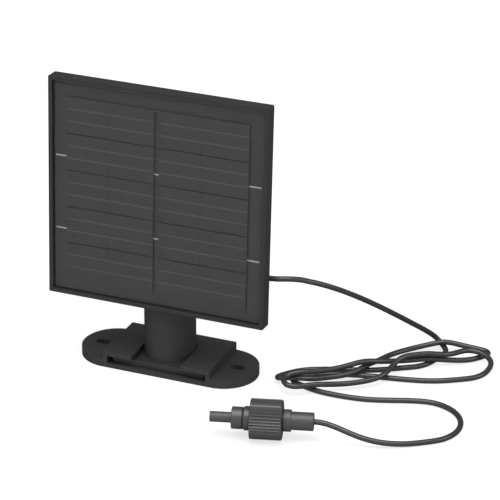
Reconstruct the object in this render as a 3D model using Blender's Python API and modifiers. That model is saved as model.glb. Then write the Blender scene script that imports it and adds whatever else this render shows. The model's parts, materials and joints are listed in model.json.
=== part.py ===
"""Small solar panel on a swivel stand, with a coiled lead that ends in a screw-lock plug.

Metres, +Z up. The origin is the point of the post's axis on the underside of the foot;
the cells face -Y and the panel's width runs along X.
"""
import math

import bmesh
import bpy
import numpy as np
from mathutils import Matrix, Vector

MM = 0.001
GAP = 0.3 * MM                    # clearance between neighbouring pieces
RUNNING_FIT = 0.08 * MM           # radial clearance of a pin that turns in its bore
ROUND = 48                        # sides of a large round piece
SMALL_ROUND = 24                  # sides of a screw or a wire end

# Foot: a stadium-shaped plate with a raised bridge that the post's plate slides under.
FOOT_LENGTH = 106.6 * MM
FOOT_DEPTH = 40 * MM
FOOT_THICKNESS = 5 * MM
FOOT_CENTRE_Y = -0.8 * MM
BRIDGE_HALF_WIDTH = 32.6 * MM
BRIDGE_TOP = 9.9 * MM
SLOT_HALF_WIDTH = 30.2 * MM
SLOT_FLOOR = 2.6 * MM
SLOT_ROOF = 7.2 * MM
SLOT_BACK_WALL = 2.4 * MM
NOTCH_HALF_WIDTH = 15.1 * MM
SCREW_SLOT_X = 41.6 * MM
SCREW_SLOT_LENGTH = 8.2 * MM
SCREW_SLOT_WIDTH = 5 * MM
FOOT_SOFTENING = 0.35 * MM

# Post: a hollow round post moulded in one piece with its slide plate.
POST_RADIUS = 14.7 * MM
POST_WALL = 2.4 * MM
POST_TOP = 38.5 * MM
POST_ROOF = 3 * MM
SPIGOT_RADIUS = 5 * MM
SLIDE_SETBACK = 3 * MM            # of the slide plate behind the front of the foot
SLIDE_SIDE_GAP = 1.6 * MM         # between the slide plate and each end of its slot
SLIDE_TOP = 6.2 * MM

# Swivel head: turns on the post's top and carries the tilt hinge.
HEAD_FLANGE_RADIUS = 9.5 * MM
HEAD_FLANGE_THICKNESS = 3 * MM
NECK_WIDTH = 12 * MM
NECK_DEPTH = 9 * MM
SWIVEL_PILOT_RADIUS = 2.3 * MM
SWIVEL_PILOT_DEPTH = 4 * MM
SWIVEL_WASHER_RADIUS = 7 * MM
SWIVEL_WASHER_THICKNESS = 1 * MM
SWIVEL_SHANK_RADIUS = 2 * MM
SWIVEL_SHANK_REACH = 7 * MM       # above the underside of the post's roof
SWIVEL_HEAD_RADIUS = 4 * MM
SWIVEL_HEAD_HEIGHT = 2.6 * MM

# Tilt hinge: a knuckle on the head, two ears on the panel's bracket, and a bolt with a knob.
HINGE_Z = 84 * MM
KNUCKLE_RADIUS = 7.6 * MM
BOLT_RADIUS = 2.5 * MM
BOLT_HEAD_RADIUS = 4.6 * MM
BOLT_HEAD_HEIGHT = 3.4 * MM
EAR_INNER = NECK_WIDTH / 2 + GAP
EAR_THICKNESS = 3 * MM
EAR_OUTER = EAR_INNER + EAR_THICKNESS
TILT_WASHER_THICKNESS = 1 * MM
KNOB_LENGTH = 8 * MM
BRACKET_HALF_HEIGHT = 22 * MM
BRACKET_THICKNESS = 2.4 * MM
BRACKET_SCREWS = [(x * 5.5 * MM, z * 17 * MM) for x in (-1, 1) for z in (-1, 1)]

# Panel, in its own frame: the hinge axis is the origin, X the width, Z up along the panel.
LEAN = math.radians(3)
PANEL_WIDTH = 130 * MM
PANEL_HEIGHT = 127.7 * MM
PANEL_FRONT = -19.1 * MM
PANEL_BACK = -11.3 * MM
PANEL_BOTTOM = -43.1 * MM
FRAME_LIP = 2.3 * MM
LAMINATE_GAP = 0.6 * MM
LAMINATE_RECESS = 0.2 * MM
SHEET_THICKNESS = 0.6 * MM
RIBBON_THICKNESS = 0.15 * MM
CELL_THICKNESS = 0.4 * MM
LAYER_GAP = 0.2 * MM
BOARD_THICKNESS = 1.6 * MM
COVER_THICKNESS = 1.8 * MM
LEDGE_WIDTH = 1.5 * MM
CELL_ROWS = 5
CELL_PITCH = 21.45 * MM
CELL_HEIGHT = 21 * MM
CELL_COLUMNS = ((-54.4 * MM, -1.8 * MM), (1.1 * MM, 54 * MM))
FIRST_ROW = 20.4 * MM             # centre of the lowest row above the panel's lower edge
RIBBON_OFFSET = 3.6 * MM
RIBBON_WIDTH = 0.7 * MM
BUS_WIDTH = 0.7 * MM
BUS_STEPS = {1: 3 * MM, 3: -2.2 * MM}   # for each row with a ribbon, its rise in the middle
BUS_STEP_STARTS = 9 * MM                # from the panel's middle
BUS_STEP_ENDS = 4 * MM

# Layers of the panel from front to back, and its screws, which follow from the sizes above.
PANEL_TOP = PANEL_BOTTOM + PANEL_HEIGHT
PANEL_MIDDLE = PANEL_BOTTOM + PANEL_HEIGHT / 2
SHEET_FRONT = PANEL_FRONT + LAMINATE_RECESS
RIBBON_FRONT = SHEET_FRONT + SHEET_THICKNESS + LAYER_GAP
CELL_FRONT = RIBBON_FRONT + RIBBON_THICKNESS
BOARD_FRONT = CELL_FRONT + CELL_THICKNESS + LAYER_GAP + RIBBON_THICKNESS + LAYER_GAP
BOARD_BACK = BOARD_FRONT + BOARD_THICKNESS
COVER_FRONT = PANEL_BACK - COVER_THICKNESS
CORNER_SCREWS = [(x * 56 * MM, PANEL_MIDDLE + z * 55 * MM) for x in (-1, 1) for z in (-1, 1)]
THIN_SCREW_HOLE = 1.3 * MM
THICK_SCREW_HOLE = 1.8 * MM

# Pan-head screws: radius and height of the head, radius and length of the shank.
COVER_SCREW = (2.1 * MM, 1 * MM, 1 * MM, 3.2 * MM)
BRACKET_SCREW = (2.7 * MM, 1.6 * MM, 1.5 * MM, 5 * MM)
LID_SCREW = (2.1 * MM, 1.2 * MM, 0.9 * MM, 5 * MM)

# Junction box on the panel's back, beside the bracket, in the panel's frame.
BOX_LEFT = 22 * MM
BOX_RIGHT = 52 * MM
BOX_LOW = -36 * MM
BOX_HIGH = -2 * MM
BOX_BACK = -1.6 * MM
BOX_WALL = 1.6 * MM
LID_THICKNESS = 1.6 * MM
BOX_FLOOR = PANEL_BACK + GAP
BOSS_RADIUS = 2.7 * MM
PILOT_RADIUS = 1.2 * MM
WIRE_HOLE = (40 * MM, -9 * MM)
WIRE_HOLE_RADIUS = 2.5 * MM
WIRE_RADIUS = 0.6 * MM
LID_SCREWS = [(x, z) for x in (BOX_LEFT + 3.4 * MM, BOX_RIGHT - 3.4 * MM)
              for z in (BOX_LOW + 3.4 * MM, BOX_HIGH - 3.4 * MM)]
CABLE_Y = -5.6 * MM               # the cable leaves the box at this depth and height
CABLE_Z = -19 * MM
CABLE_RADIUS = 1.55 * MM
GLAND_RADIUS = 2.6 * MM           # of the grommet's neck, in the wall of the box
GLAND_FLANGE_RADIUS = 3.5 * MM    # inside the box
GLAND_FLANGE_THICKNESS = 1.2 * MM
GLAND_COLLAR_RADIUS = 4.2 * MM    # outside the box
GLAND_COLLAR_THICKNESS = 1.6 * MM
GLAND_TAIL = 5.5 * MM

# Plug, in its own frame: X runs from the tip to the cable, and the nut's middle is the origin.
PLUG_CENTRE = Vector((83.6 * MM, -61.3 * MM, 11 * MM))
PLUG_HEADING = math.radians(16.3)
NUT_RADIUS = 11 * MM
NUT_LENGTH = 17.4 * MM
NUT_LOBES = 3
NUT_RIBS = 8
NUT_RIBBED_ARC = math.radians(75)
NUT_FIRST_RIB = math.radians(118)
NUT_BACK_WALL = 3.5 * MM
RIB_HEIGHT = 0.7 * MM
SLEEVE_RADIUS = 2.9 * MM
SLEEVE_LENGTH = 11.8 * MM
BARREL_RADIUS = 6.05 * MM
BARREL_LENGTH = 5.8 * MM
SOCKET_DEPTH = 4 * MM
INSULATOR_RADII = (1.95 * MM, 1.55 * MM)
CONTACT_RADII = (1.35 * MM, 1.05 * MM)
SLEEVE_BORE = 2.25 * MM
COLLAR_RADIUS = 6.6 * MM
COLLAR_LENGTH = 3 * MM
GROOVE_WIDTH = 1 * MM
GROOVE_RADIUS = 5 * MM
SEAL_RADIUS = 5.6 * MM
SEAL_WIRE_RADIUS = 0.35 * MM
CORE_RADIUS = 5.5 * MM
RELIEF_COLLAR_RADIUS = 6.05 * MM
RELIEF_COLLAR_LENGTH = 4 * MM
RELIEF_RADIUS = 5 * MM
RELIEF_LENGTH = 12.2 * MM

# Hank of spare cable on the ground, in its own frame: u along it, v across it. The strands'
# own shapes are in hank_guides.
HANK_CENTRE = Vector((117 * MM, 40 * MM, 0))
HANK_HEADING = math.radians(36)
CABLE_STEP = 4.8 * MM             # between points of the finished cable
LEVEL_PITCH = 3.9 * MM            # between the middles of strands that lie across each other
STRAND_LEFT = -52                 # a strand's guide points, in millimetres
STRAND_RIGHT = 48
STRAND_STEP = 14
LANDING_CENTRE = (29, 13.5)
LANDING_RADIUS = 9.5
TAIL_CENTRE = (-3, -66.5)
TAIL_RADIUS = 23.5

# How the cable lies: it droops a little between the places that hold it up.
CABLE_DROOP = 8                   # curvature of an unsupported span, per metre
REST_STEP = 1.2 * MM
NEAR_ALONG_CABLE = 3 * LEVEL_PITCH  # a point never rests on one nearer along the cable
LEAST_ORDER_STEP = 0.4            # a point rests on those whose order is lower by this
REST_PASSES = 2500
GROUND_EVENING = 12               # passes that even out its bends, each over one REST_STEP
HEIGHT_EVENING = 10
LEAD_EVENING = 40

# Free lead: over a shoulder beside the junction box, then straight down to a curl at the ground.
LEAD_SHOULDER = (31 * MM, 2 * MM, 9.5 * MM)
FALL_HEADING = math.radians(54)
FALL_SLOPE = math.radians(36)
FALL_LENGTH = 46 * MM
FALL_FOOT = (-10 * MM, 2 * MM, 10 * MM)
CURL_REACH = 8 * MM

# Tail: off the ground and into the plug.
TAIL_RUN = 36 * MM
PLUG_APPROACH = 18 * MM
PLUG_DIP = 1 * MM


def clear_scene():
    for old in list(bpy.data.objects):
        bpy.data.objects.remove(old, do_unlink=True)


def new_collection(name):
    collection = bpy.data.collections.new(name)
    bpy.context.scene.collection.children.link(collection)
    return collection


def material(name, colour, roughness, metallic=0.0):
    """A Principled BSDF material."""
    made = bpy.data.materials.new(name)
    made.use_nodes = True
    shader = made.node_tree.nodes["Principled BSDF"]
    shader.inputs["Base Color"].default_value = (*colour, 1)
    shader.inputs["Roughness"].default_value = roughness
    shader.inputs["Metallic"].default_value = metallic
    made.diffuse_color = (*colour, 1)
    return made


# ---- shapes -------------------------------------------------------------------------


def object_from_bmesh(name, shape):
    mesh = bpy.data.meshes.new(name)
    shape.to_mesh(mesh)
    shape.free()
    return bpy.data.objects.new(name, mesh)


def box(name, low, high):
    """A box between two opposite corners."""
    low, high = Vector(low), Vector(high)
    size = high - low
    shape = bmesh.new()
    place = Matrix.Translation((low + high) / 2) @ Matrix.Diagonal((*size, 1))
    bmesh.ops.create_cube(shape, size=1, matrix=place)
    return object_from_bmesh(name, shape)


def rod(name, start, end, radius, sides=ROUND):
    """A cylinder between two points."""
    start, end = Vector(start), Vector(end)
    along = end - start
    turn = along.to_track_quat("Z", "Y").to_matrix().to_4x4()
    shape = bmesh.new()
    bmesh.ops.create_cone(shape, cap_ends=True, segments=sides, radius1=radius, radius2=radius,
                          depth=along.length, matrix=Matrix.Translation((start + end) / 2) @ turn)
    made = object_from_bmesh(name, shape)
    made.data.shade_smooth()
    made.data.set_sharp_from_angle(angle=math.radians(35))
    return made


def turned(name, profile, sides=ROUND):
    """A profile of (radius, height) turned about Z; it runs down its outer side."""
    shape = bmesh.new()
    corners = [shape.verts.new((radius, 0, height)) for radius, height in profile]
    closed = all(radius > 0 for radius, _ in profile)
    for a, b in zip(corners, corners[1:] + corners[:1] if closed else corners[1:]):
        shape.edges.new((a, b))
    made = object_from_bmesh(name, shape)
    screw = made.modifiers.new("Turn", "SCREW")
    screw.steps = sides
    screw.render_steps = sides
    screw.use_merge_vertices = True
    screw.merge_threshold = 0.00001
    screw.use_smooth_shade = True
    return made


def tube_profile(start, end, outer, inner):
    """Profile of a plain tube or washer for turned()."""
    return [(outer, end), (outer, start), (inner, start), (inner, end)]


def mesh_from_curve(curve):
    """The curve's shape as a mesh object with its caps welded on."""
    bpy.context.scene.collection.objects.link(curve)
    evaluated = curve.evaluated_get(bpy.context.evaluated_depsgraph_get())
    mesh = bpy.data.meshes.new_from_object(evaluated)
    shape = bmesh.new()
    shape.from_mesh(mesh)
    bmesh.ops.remove_doubles(shape, verts=shape.verts, dist=0.000002)
    bmesh.ops.recalc_face_normals(shape, faces=shape.faces)
    shape.to_mesh(mesh)
    shape.free()
    name = curve.name
    place = curve.matrix_world.copy()
    bpy.data.objects.remove(curve, do_unlink=True)
    mesh.name = name
    made = bpy.data.objects.new(name, mesh)
    made.matrix_world = place
    return made


def prism(name, outlines, low, high, along="Z"):
    """Flat outlines (the second and later ones are holes) extruded from low to high.

    Along Z the outline's pair is (x, y), along Y it is (x, z) and along X it is (y, z).
    """
    curve = bpy.data.curves.new(name, "CURVE")
    curve.dimensions = "2D"
    curve.fill_mode = "BOTH"
    curve.extrude = (high - low) / 2
    for outline in outlines:
        spline = curve.splines.new("POLY")
        spline.points.add(len(outline) - 1)
        for point, (a, b) in zip(spline.points, outline):
            point.co = (a, b, 0, 1)
        spline.use_cyclic_u = True
    made = mesh_from_curve(bpy.data.objects.new(name, curve))
    middle = (low + high) / 2
    turn = {
        "Z": Matrix.Translation((0, 0, middle)),
        "Y": Matrix.Translation((0, middle, 0)) @ Matrix.Rotation(math.radians(90), 4, "X"),
        "X": Matrix.Translation((middle, 0, 0)) @ Matrix(
            ((0, 0, 1, 0), (1, 0, 0, 0), (0, 1, 0, 0), (0, 0, 0, 1))),
    }[along]
    made.data.transform(turn)
    made.data.shade_smooth()
    made.data.set_sharp_from_angle(angle=math.radians(30))
    return made


def wire(name, points, radius):
    """A round wire of small sides along points, with closed ends."""
    curve = bpy.data.curves.new(name, "CURVE")
    curve.dimensions = "3D"
    curve.bevel_depth = radius
    curve.bevel_resolution = 2
    curve.use_fill_caps = True
    spline = curve.splines.new("POLY")
    spline.points.add(len(points) - 1)
    for point, place in zip(spline.points, points):
        point.co = (*place, 1)
    made = mesh_from_curve(bpy.data.objects.new(name, curve))
    made.data.shade_smooth()
    made.data.set_sharp_from_angle(angle=math.radians(50))
    return made


def arc(centre, radius, start, end, sides):
    """Points on an arc, both ends included; angles in degrees, counterclockwise."""
    steps = [math.radians(start + (end - start) * i / sides) for i in range(sides + 1)]
    return [(centre[0] + radius * math.cos(a), centre[1] + radius * math.sin(a)) for a in steps]


def circle(centre, radius, sides=SMALL_ROUND):
    return arc(centre, radius, 0, 360, sides)[:-1]


def rounded_rectangle(low, high, radius, sides=4):
    (x0, y0), (x1, y1) = low, high
    corners = (((x1 - radius, y1 - radius), 0), ((x0 + radius, y1 - radius), 90),
               ((x0 + radius, y0 + radius), 180), ((x1 - radius, y0 + radius), 270))
    return [p for centre, start in corners for p in arc(centre, radius, start, start + 90, sides)]


def stadium(centre, length, width, sides):
    """A slot shape with its long side along the first axis."""
    reach = (length - width) / 2
    right = arc((centre[0] + reach, centre[1]), width / 2, -90, 90, sides)
    left = arc((centre[0] - reach, centre[1]), width / 2, 90, 270, sides)
    return right + left


def smooth_path(points, step, ignore_z=False):
    """Points about step apart on a Catmull-Rom curve through the given ones.

    With ignore_z the third value isn't a height and doesn't count in the distance.
    """
    points = [Vector(p) for p in points]
    ends = [2 * points[0] - points[1]] + points + [2 * points[-1] - points[-2]]
    path = []
    for before, a, b, after in zip(ends, ends[1:], ends[2:], ends[3:]):
        reach = (b - a).xy.length if ignore_z else (b - a).length
        count = max(1, round(reach / step))
        for i in range(count):
            t = i / count
            path.append(0.5 * (2 * a + (b - before) * t
                               + (2 * before - 5 * a + 4 * b - after) * t ** 2
                               + (3 * a - before - 3 * b + after) * t ** 3))
    return path + [points[-1]]


# ---- assembly helpers ---------------------------------------------------------------


class Assembly:
    """The parts and cutters of the object, in their two collections."""

    def __init__(self):
        self.parts = new_collection("solar_panel_with_plug_lead")
        self.cutters = new_collection("cutters")

    def part(self, made, finish, parent=None):
        made.data.materials.clear()
        made.data.materials.append(finish)
        self.parts.objects.link(made)
        made.parent = parent
        return made

    def frame(self, name, place):
        """An empty that holds a group of parts in its own frame."""
        empty = bpy.data.objects.new(name, None)
        empty.empty_display_size = 10 * MM
        self.parts.objects.link(empty)
        empty.matrix_world = place
        return empty

    def shape(self, target, tool, operation):
        """Cuts tool from target, or joins it on; tool sits in target's frame."""
        self.cutters.objects.link(tool)
        tool.parent = target.parent
        tool.hide_render = True
        tool.display_type = "WIRE"
        boolean = target.modifiers.new(tool.name, "BOOLEAN")
        boolean.operation = operation
        boolean.solver = "EXACT"
        boolean.object = tool

    def cut(self, target, tool):
        self.shape(target, tool, "DIFFERENCE")

    def join(self, target, tool):
        self.shape(target, tool, "UNION")


def soften(made, width, segments=1, angle=40):
    """Rounds the edges of a finished shape."""
    bevel = made.modifiers.new("Soft edges", "BEVEL")
    bevel.width = width
    bevel.segments = segments
    bevel.limit_method = "ANGLE"
    bevel.angle_limit = math.radians(angle)
    bevel.harden_normals = False


# ---- stand --------------------------------------------------------------------------


def make_foot(asm, plastic):
    """Foot plate with its bridge, the slot under it and two screw slots."""
    front = FOOT_CENTRE_Y - FOOT_DEPTH / 2
    back = FOOT_CENTRE_Y + FOOT_DEPTH / 2
    outline = stadium((0, FOOT_CENTRE_Y), FOOT_LENGTH, FOOT_DEPTH, 20)
    holes = [stadium((side * SCREW_SLOT_X, FOOT_CENTRE_Y), SCREW_SLOT_LENGTH, SCREW_SLOT_WIDTH, 8)
             for side in (-1, 1)]
    foot = asm.part(prism("foot_plate", [outline, *holes], 0, FOOT_THICKNESS), plastic)
    # The notch round the post is open to the front, so the bridge's outline holds it.
    notch = [(NOTCH_HALF_WIDTH, front)] + arc((0, 0), NOTCH_HALF_WIDTH, 0, 180, 20)
    notch.append((-NOTCH_HALF_WIDTH, front))
    bridge = [(-BRIDGE_HALF_WIDTH, front), (-BRIDGE_HALF_WIDTH, back),
              (BRIDGE_HALF_WIDTH, back), (BRIDGE_HALF_WIDTH, front)]
    asm.join(foot, prism("bridge", [bridge + notch], SLOT_FLOOR, BRIDGE_TOP))
    asm.cut(foot, box("slot", (-SLOT_HALF_WIDTH, front - MM, SLOT_FLOOR),
                      (SLOT_HALF_WIDTH, back - SLOT_BACK_WALL, SLOT_ROOF)))
    soften(foot, FOOT_SOFTENING)
    return foot


def make_post(asm, plastic):
    """Hollow post on the plate that slides into the foot."""
    floor = SLOT_FLOOR + GAP
    bore = POST_RADIUS - POST_WALL
    profile = [(POST_RADIUS, POST_TOP), (POST_RADIUS, floor), (bore, floor),
               (bore, POST_TOP - POST_ROOF), (SPIGOT_RADIUS + GAP, POST_TOP - POST_ROOF),
               (SPIGOT_RADIUS + GAP, POST_TOP)]
    post = asm.part(turned("post", profile), plastic)
    front = FOOT_CENTRE_Y - FOOT_DEPTH / 2 + SLIDE_SETBACK
    back = FOOT_CENTRE_Y + FOOT_DEPTH / 2 - SLOT_BACK_WALL - GAP
    half = SLOT_HALF_WIDTH - SLIDE_SIDE_GAP
    plate = prism("slide_plate", [rounded_rectangle((-half, front), (half, back), 1.5 * MM),
                                  circle((0, 0), bore + 0.5 * MM, ROUND)], floor, SLIDE_TOP)
    asm.join(post, plate)
    return post


def make_swivel_head(asm, plastic):
    """Flange, spigot and neck of the head, with the knuckle of the tilt hinge."""
    seat = POST_TOP + GAP
    top = seat + HEAD_FLANGE_THICKNESS
    spigot_end = POST_TOP - POST_ROOF + GAP
    profile = [(0, top), (HEAD_FLANGE_RADIUS - MM, top), (HEAD_FLANGE_RADIUS, top - MM),
               (HEAD_FLANGE_RADIUS, seat), (SPIGOT_RADIUS, seat), (SPIGOT_RADIUS, spigot_end),
               (0, spigot_end)]
    head = asm.part(turned("swivel_head", profile, 32), plastic)
    outline = rounded_rectangle((-NECK_WIDTH / 2, -NECK_DEPTH / 2),
                                (NECK_WIDTH / 2, NECK_DEPTH / 2), 1.5 * MM)
    asm.join(head, prism("neck", [outline], top - MM, HINGE_Z))
    asm.join(head, rod("knuckle", (-NECK_WIDTH / 2, 0, HINGE_Z), (NECK_WIDTH / 2, 0, HINGE_Z),
                       KNUCKLE_RADIUS, 32))
    asm.cut(head, rod("knuckle_bore", (-NECK_WIDTH, 0, HINGE_Z), (NECK_WIDTH, 0, HINGE_Z),
                      BOLT_RADIUS + RUNNING_FIT, 32))
    asm.cut(head, rod("pilot_hole", (0, 0, spigot_end - MM), (0, 0, top + SWIVEL_PILOT_DEPTH),
                      SWIVEL_PILOT_RADIUS, SMALL_ROUND))
    return head


def make_swivel_fasteners(asm, steel):
    """Screw and washer that hold the head down, inside the hollow post."""
    roof = POST_TOP - POST_ROOF
    washer_top = roof - GAP
    washer_low = washer_top - SWIVEL_WASHER_THICKNESS
    profile = tube_profile(washer_low, washer_top, SWIVEL_WASHER_RADIUS, SWIVEL_PILOT_RADIUS)
    asm.part(turned("swivel_washer", profile, SMALL_ROUND), steel)
    head_top = washer_low - GAP
    head_low = head_top - SWIVEL_HEAD_HEIGHT
    tip = roof + SWIVEL_SHANK_REACH
    profile = [(0, tip), (SWIVEL_SHANK_RADIUS, tip), (SWIVEL_SHANK_RADIUS, head_top),
               (SWIVEL_HEAD_RADIUS, head_top), (SWIVEL_HEAD_RADIUS, head_low + MM),
               (SWIVEL_HEAD_RADIUS * 0.65, head_low), (0, head_low)]
    asm.part(turned("swivel_screw", profile, 20), steel)


# ---- tilt hinge ---------------------------------------------------------------------


def make_bracket(asm, plastic, frame):
    """Plate on the panel's back with two ears round the knuckle."""
    low = PANEL_BACK + GAP
    high = low + BRACKET_THICKNESS
    outline = rounded_rectangle((-EAR_OUTER, -BRACKET_HALF_HEIGHT),
                                (EAR_OUTER, BRACKET_HALF_HEIGHT), 2 * MM)
    holes = [circle(place, THICK_SCREW_HOLE, 12) for place in BRACKET_SCREWS]
    bracket = asm.part(prism("panel_bracket", [outline, *holes], low, high, "Y"), plastic, frame)
    ear = arc((0, 0), KNUCKLE_RADIUS, -90, 90, 16)
    ear += [(low + MM, KNUCKLE_RADIUS + 2 * MM), (low + MM, -KNUCKLE_RADIUS - 2 * MM)]
    hole = circle((0, 0), BOLT_RADIUS + GAP)
    for name, start in (("left_ear", -EAR_OUTER), ("right_ear", EAR_INNER)):
        asm.join(bracket, prism(name, [ear, hole], start, start + EAR_THICKNESS, "X"))
    return bracket


def make_tilt_fasteners(asm, steel, knob_plastic, frame):
    """Hex bolt through the hinge, its washer and the hand knob that locks the tilt."""
    head_end = -EAR_OUTER - GAP
    head = rod("tilt_bolt", (head_end - BOLT_HEAD_HEIGHT, 0, 0), (head_end, 0, 0),
               BOLT_HEAD_RADIUS, 6)
    bolt = asm.part(head, steel, frame)
    washer_start = EAR_OUTER + GAP
    knob_start = washer_start + TILT_WASHER_THICKNESS + GAP
    knob_end = knob_start + KNOB_LENGTH
    asm.join(bolt, rod("bolt_shank", (head_end - MM, 0, 0), (knob_end + MM, 0, 0),
                       BOLT_RADIUS, 32))
    asm.part(prism("tilt_washer", [circle((0, 0), 5 * MM, 32), circle((0, 0), 2.8 * MM, 32)],
                   washer_start, washer_start + TILT_WASHER_THICKNESS, "X"), steel, frame)
    grip = lobed_outline(6.6 * MM, 1.2 * MM, 5, 40)
    knob = prism("tilt_knob", [grip, circle((0, 0), BOLT_RADIUS + RUNNING_FIT, 32)],
                 knob_start, knob_end, "X")
    soften(asm.part(knob, knob_plastic, frame), 0.5 * MM, angle=60)


def lobed_outline(radius, depth, lobes, sides):
    """A closed outline whose radius swings gently between lobes and valleys."""
    angles = [math.tau * i / sides for i in range(sides)]
    return [((radius + depth * math.cos(lobes * a)) * math.cos(a),
             (radius + depth * math.cos(lobes * a)) * math.sin(a)) for a in angles]


def add_pan_screws(asm, name, places, sizes, steel, frame):
    """Numbered pan-head screws along the frame's -Y, whose heads seat at the places.

    The sizes are the head's radius and height, and the shank's radius and length.
    """
    head_radius, head_height, shank_radius, shank_length = sizes
    profile = [(0, head_height), (head_radius * 0.75, head_height), (head_radius, 0),
               (shank_radius, 0), (shank_radius, -shank_length), (0, -shank_length)]
    for number, place in enumerate(places, 1):
        screw = asm.part(turned(f"{name}_{number}", profile, 12), steel, frame)
        screw.matrix_local = Matrix.Translation(place) @ Matrix.Rotation(math.radians(-90), 4, "X")


# ---- panel --------------------------------------------------------------------------


def panel_rectangle(inset, radius):
    """The panel's outline, moved in by inset, in the panel's frame."""
    half = PANEL_WIDTH / 2 - inset
    return rounded_rectangle((-half, PANEL_BOTTOM + inset), (half, PANEL_TOP - inset), radius, 3)


def ledge_opening():
    """The opening inside the ledge, with a square pad left in each corner for a screw."""
    half_x = PANEL_WIDTH / 2 - FRAME_LIP - LEDGE_WIDTH
    half_z = PANEL_HEIGHT / 2 - FRAME_LIP - LEDGE_WIDTH
    pad_x = CORNER_SCREWS[-1][0] - 4 * MM
    pad_z = CORNER_SCREWS[-1][1] - PANEL_MIDDLE - 4 * MM
    corner = [(half_x, pad_z), (pad_x, pad_z), (pad_x, half_z)]
    outline = []
    for side_x, side_z in ((1, 1), (-1, 1), (-1, -1), (1, -1)):
        turned_corner = corner if side_x * side_z > 0 else corner[::-1]
        outline += [(side_x * x, PANEL_MIDDLE + side_z * z) for x, z in turned_corner]
    return outline


def make_frame(asm, plastic, frame):
    """Moulded frame with the ledge that the laminate and the cover seat on."""
    ring = prism("panel_frame", [panel_rectangle(0, 0.8 * MM),
                                 panel_rectangle(FRAME_LIP, 0.4 * MM)],
                 PANEL_FRONT, PANEL_BACK, "Y")
    ring = asm.part(ring, plastic, frame)
    ledge_front = BOARD_BACK + GAP
    ledge_back = COVER_FRONT - GAP
    holes = [circle(place, THIN_SCREW_HOLE, 12) for place in CORNER_SCREWS]
    ledge = prism("ledge", [panel_rectangle(FRAME_LIP - MM, 0.4 * MM), ledge_opening(), *holes],
                  ledge_front, ledge_back, "Y")
    asm.join(ring, ledge)
    return ring


def make_laminate(asm, finishes, frame):
    """Clear front sheet, the cells with their printed fingers, and the board behind them."""
    edge = FRAME_LIP + LAMINATE_GAP
    sheet = prism("front_sheet", [panel_rectangle(edge, 0.4 * MM)], SHEET_FRONT,
                  SHEET_FRONT + SHEET_THICKNESS, "Y")
    asm.part(sheet, finishes["clear"], frame)
    board = prism("backing_board", [panel_rectangle(edge, 0.4 * MM)], BOARD_FRONT, BOARD_BACK, "Y")
    asm.part(board, finishes["board"], frame)
    for row in range(CELL_ROWS):
        middle = PANEL_BOTTOM + FIRST_ROW + CELL_PITCH * row
        for side, (left, right) in zip(("left", "right"), CELL_COLUMNS):
            low = (left, CELL_FRONT, middle - CELL_HEIGHT / 2)
            high = (right, CELL_FRONT + CELL_THICKNESS, middle + CELL_HEIGHT / 2)
            name = f"cell_{side}_{row + 1}"
            cell = asm.part(box(name, low, high), finishes["silicon"], frame)
            for offset in (-RIBBON_OFFSET, RIBBON_OFFSET):
                low = (left + MM, RIBBON_FRONT, middle + offset - RIBBON_WIDTH / 2)
                high = (right - MM, CELL_FRONT + CELL_THICKNESS / 2,
                        middle + offset + RIBBON_WIDTH / 2)
                asm.join(cell, box(f"{name}_finger", low, high))


def make_bus_ribbons(asm, tinned, frame):
    """Two flat ribbons behind the cells, seen in the gaps beside and between the columns.

    Hidden by the cells, each steps to another height where it crosses the middle gap.
    """
    half = PANEL_WIDTH / 2 - FRAME_LIP - LAMINATE_GAP - MM
    front = CELL_FRONT + CELL_THICKNESS + LAYER_GAP
    for name, row in (("lower", 1), ("upper", 3)):
        side = PANEL_BOTTOM + FIRST_ROW + CELL_PITCH * row - RIBBON_OFFSET + RIBBON_WIDTH
        middle = side + BUS_STEPS[row]
        way = [(-half, side), (-BUS_STEP_STARTS, side), (-BUS_STEP_ENDS, middle),
               (BUS_STEP_ENDS, middle), (BUS_STEP_STARTS, side), (half, side)]
        outline = [(x, z - BUS_WIDTH / 2) for x, z in way]
        outline += [(x, z + BUS_WIDTH / 2) for x, z in reversed(way)]
        ribbon = prism(f"bus_ribbon_{name}", [outline], front, front + RIBBON_THICKNESS, "Y")
        asm.part(ribbon, tinned, frame)


def make_back_cover(asm, finishes, frame):
    """Cover that closes the frame, its corner screws and the bracket's screws."""
    holes = [circle(place, THIN_SCREW_HOLE, 12) for place in CORNER_SCREWS]
    holes += [circle(place, THICK_SCREW_HOLE, 12) for place in BRACKET_SCREWS]
    holes.append(circle(WIRE_HOLE, WIRE_HOLE_RADIUS, 16))
    outline = panel_rectangle(FRAME_LIP + GAP, 0.4 * MM)
    cover = prism("back_cover", [outline, *holes], COVER_FRONT, PANEL_BACK, "Y")
    asm.part(cover, finishes["plastic"], frame)
    seat = PANEL_BACK + GAP
    add_pan_screws(asm, "cover_screw", [(x, seat, z) for x, z in CORNER_SCREWS], COVER_SCREW,
                   finishes["steel"], frame)
    seat += BRACKET_THICKNESS + GAP
    add_pan_screws(asm, "bracket_screw", [(x, seat, z) for x, z in BRACKET_SCREWS], BRACKET_SCREW,
                   finishes["steel"], frame)


# ---- junction box -------------------------------------------------------------------


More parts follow.
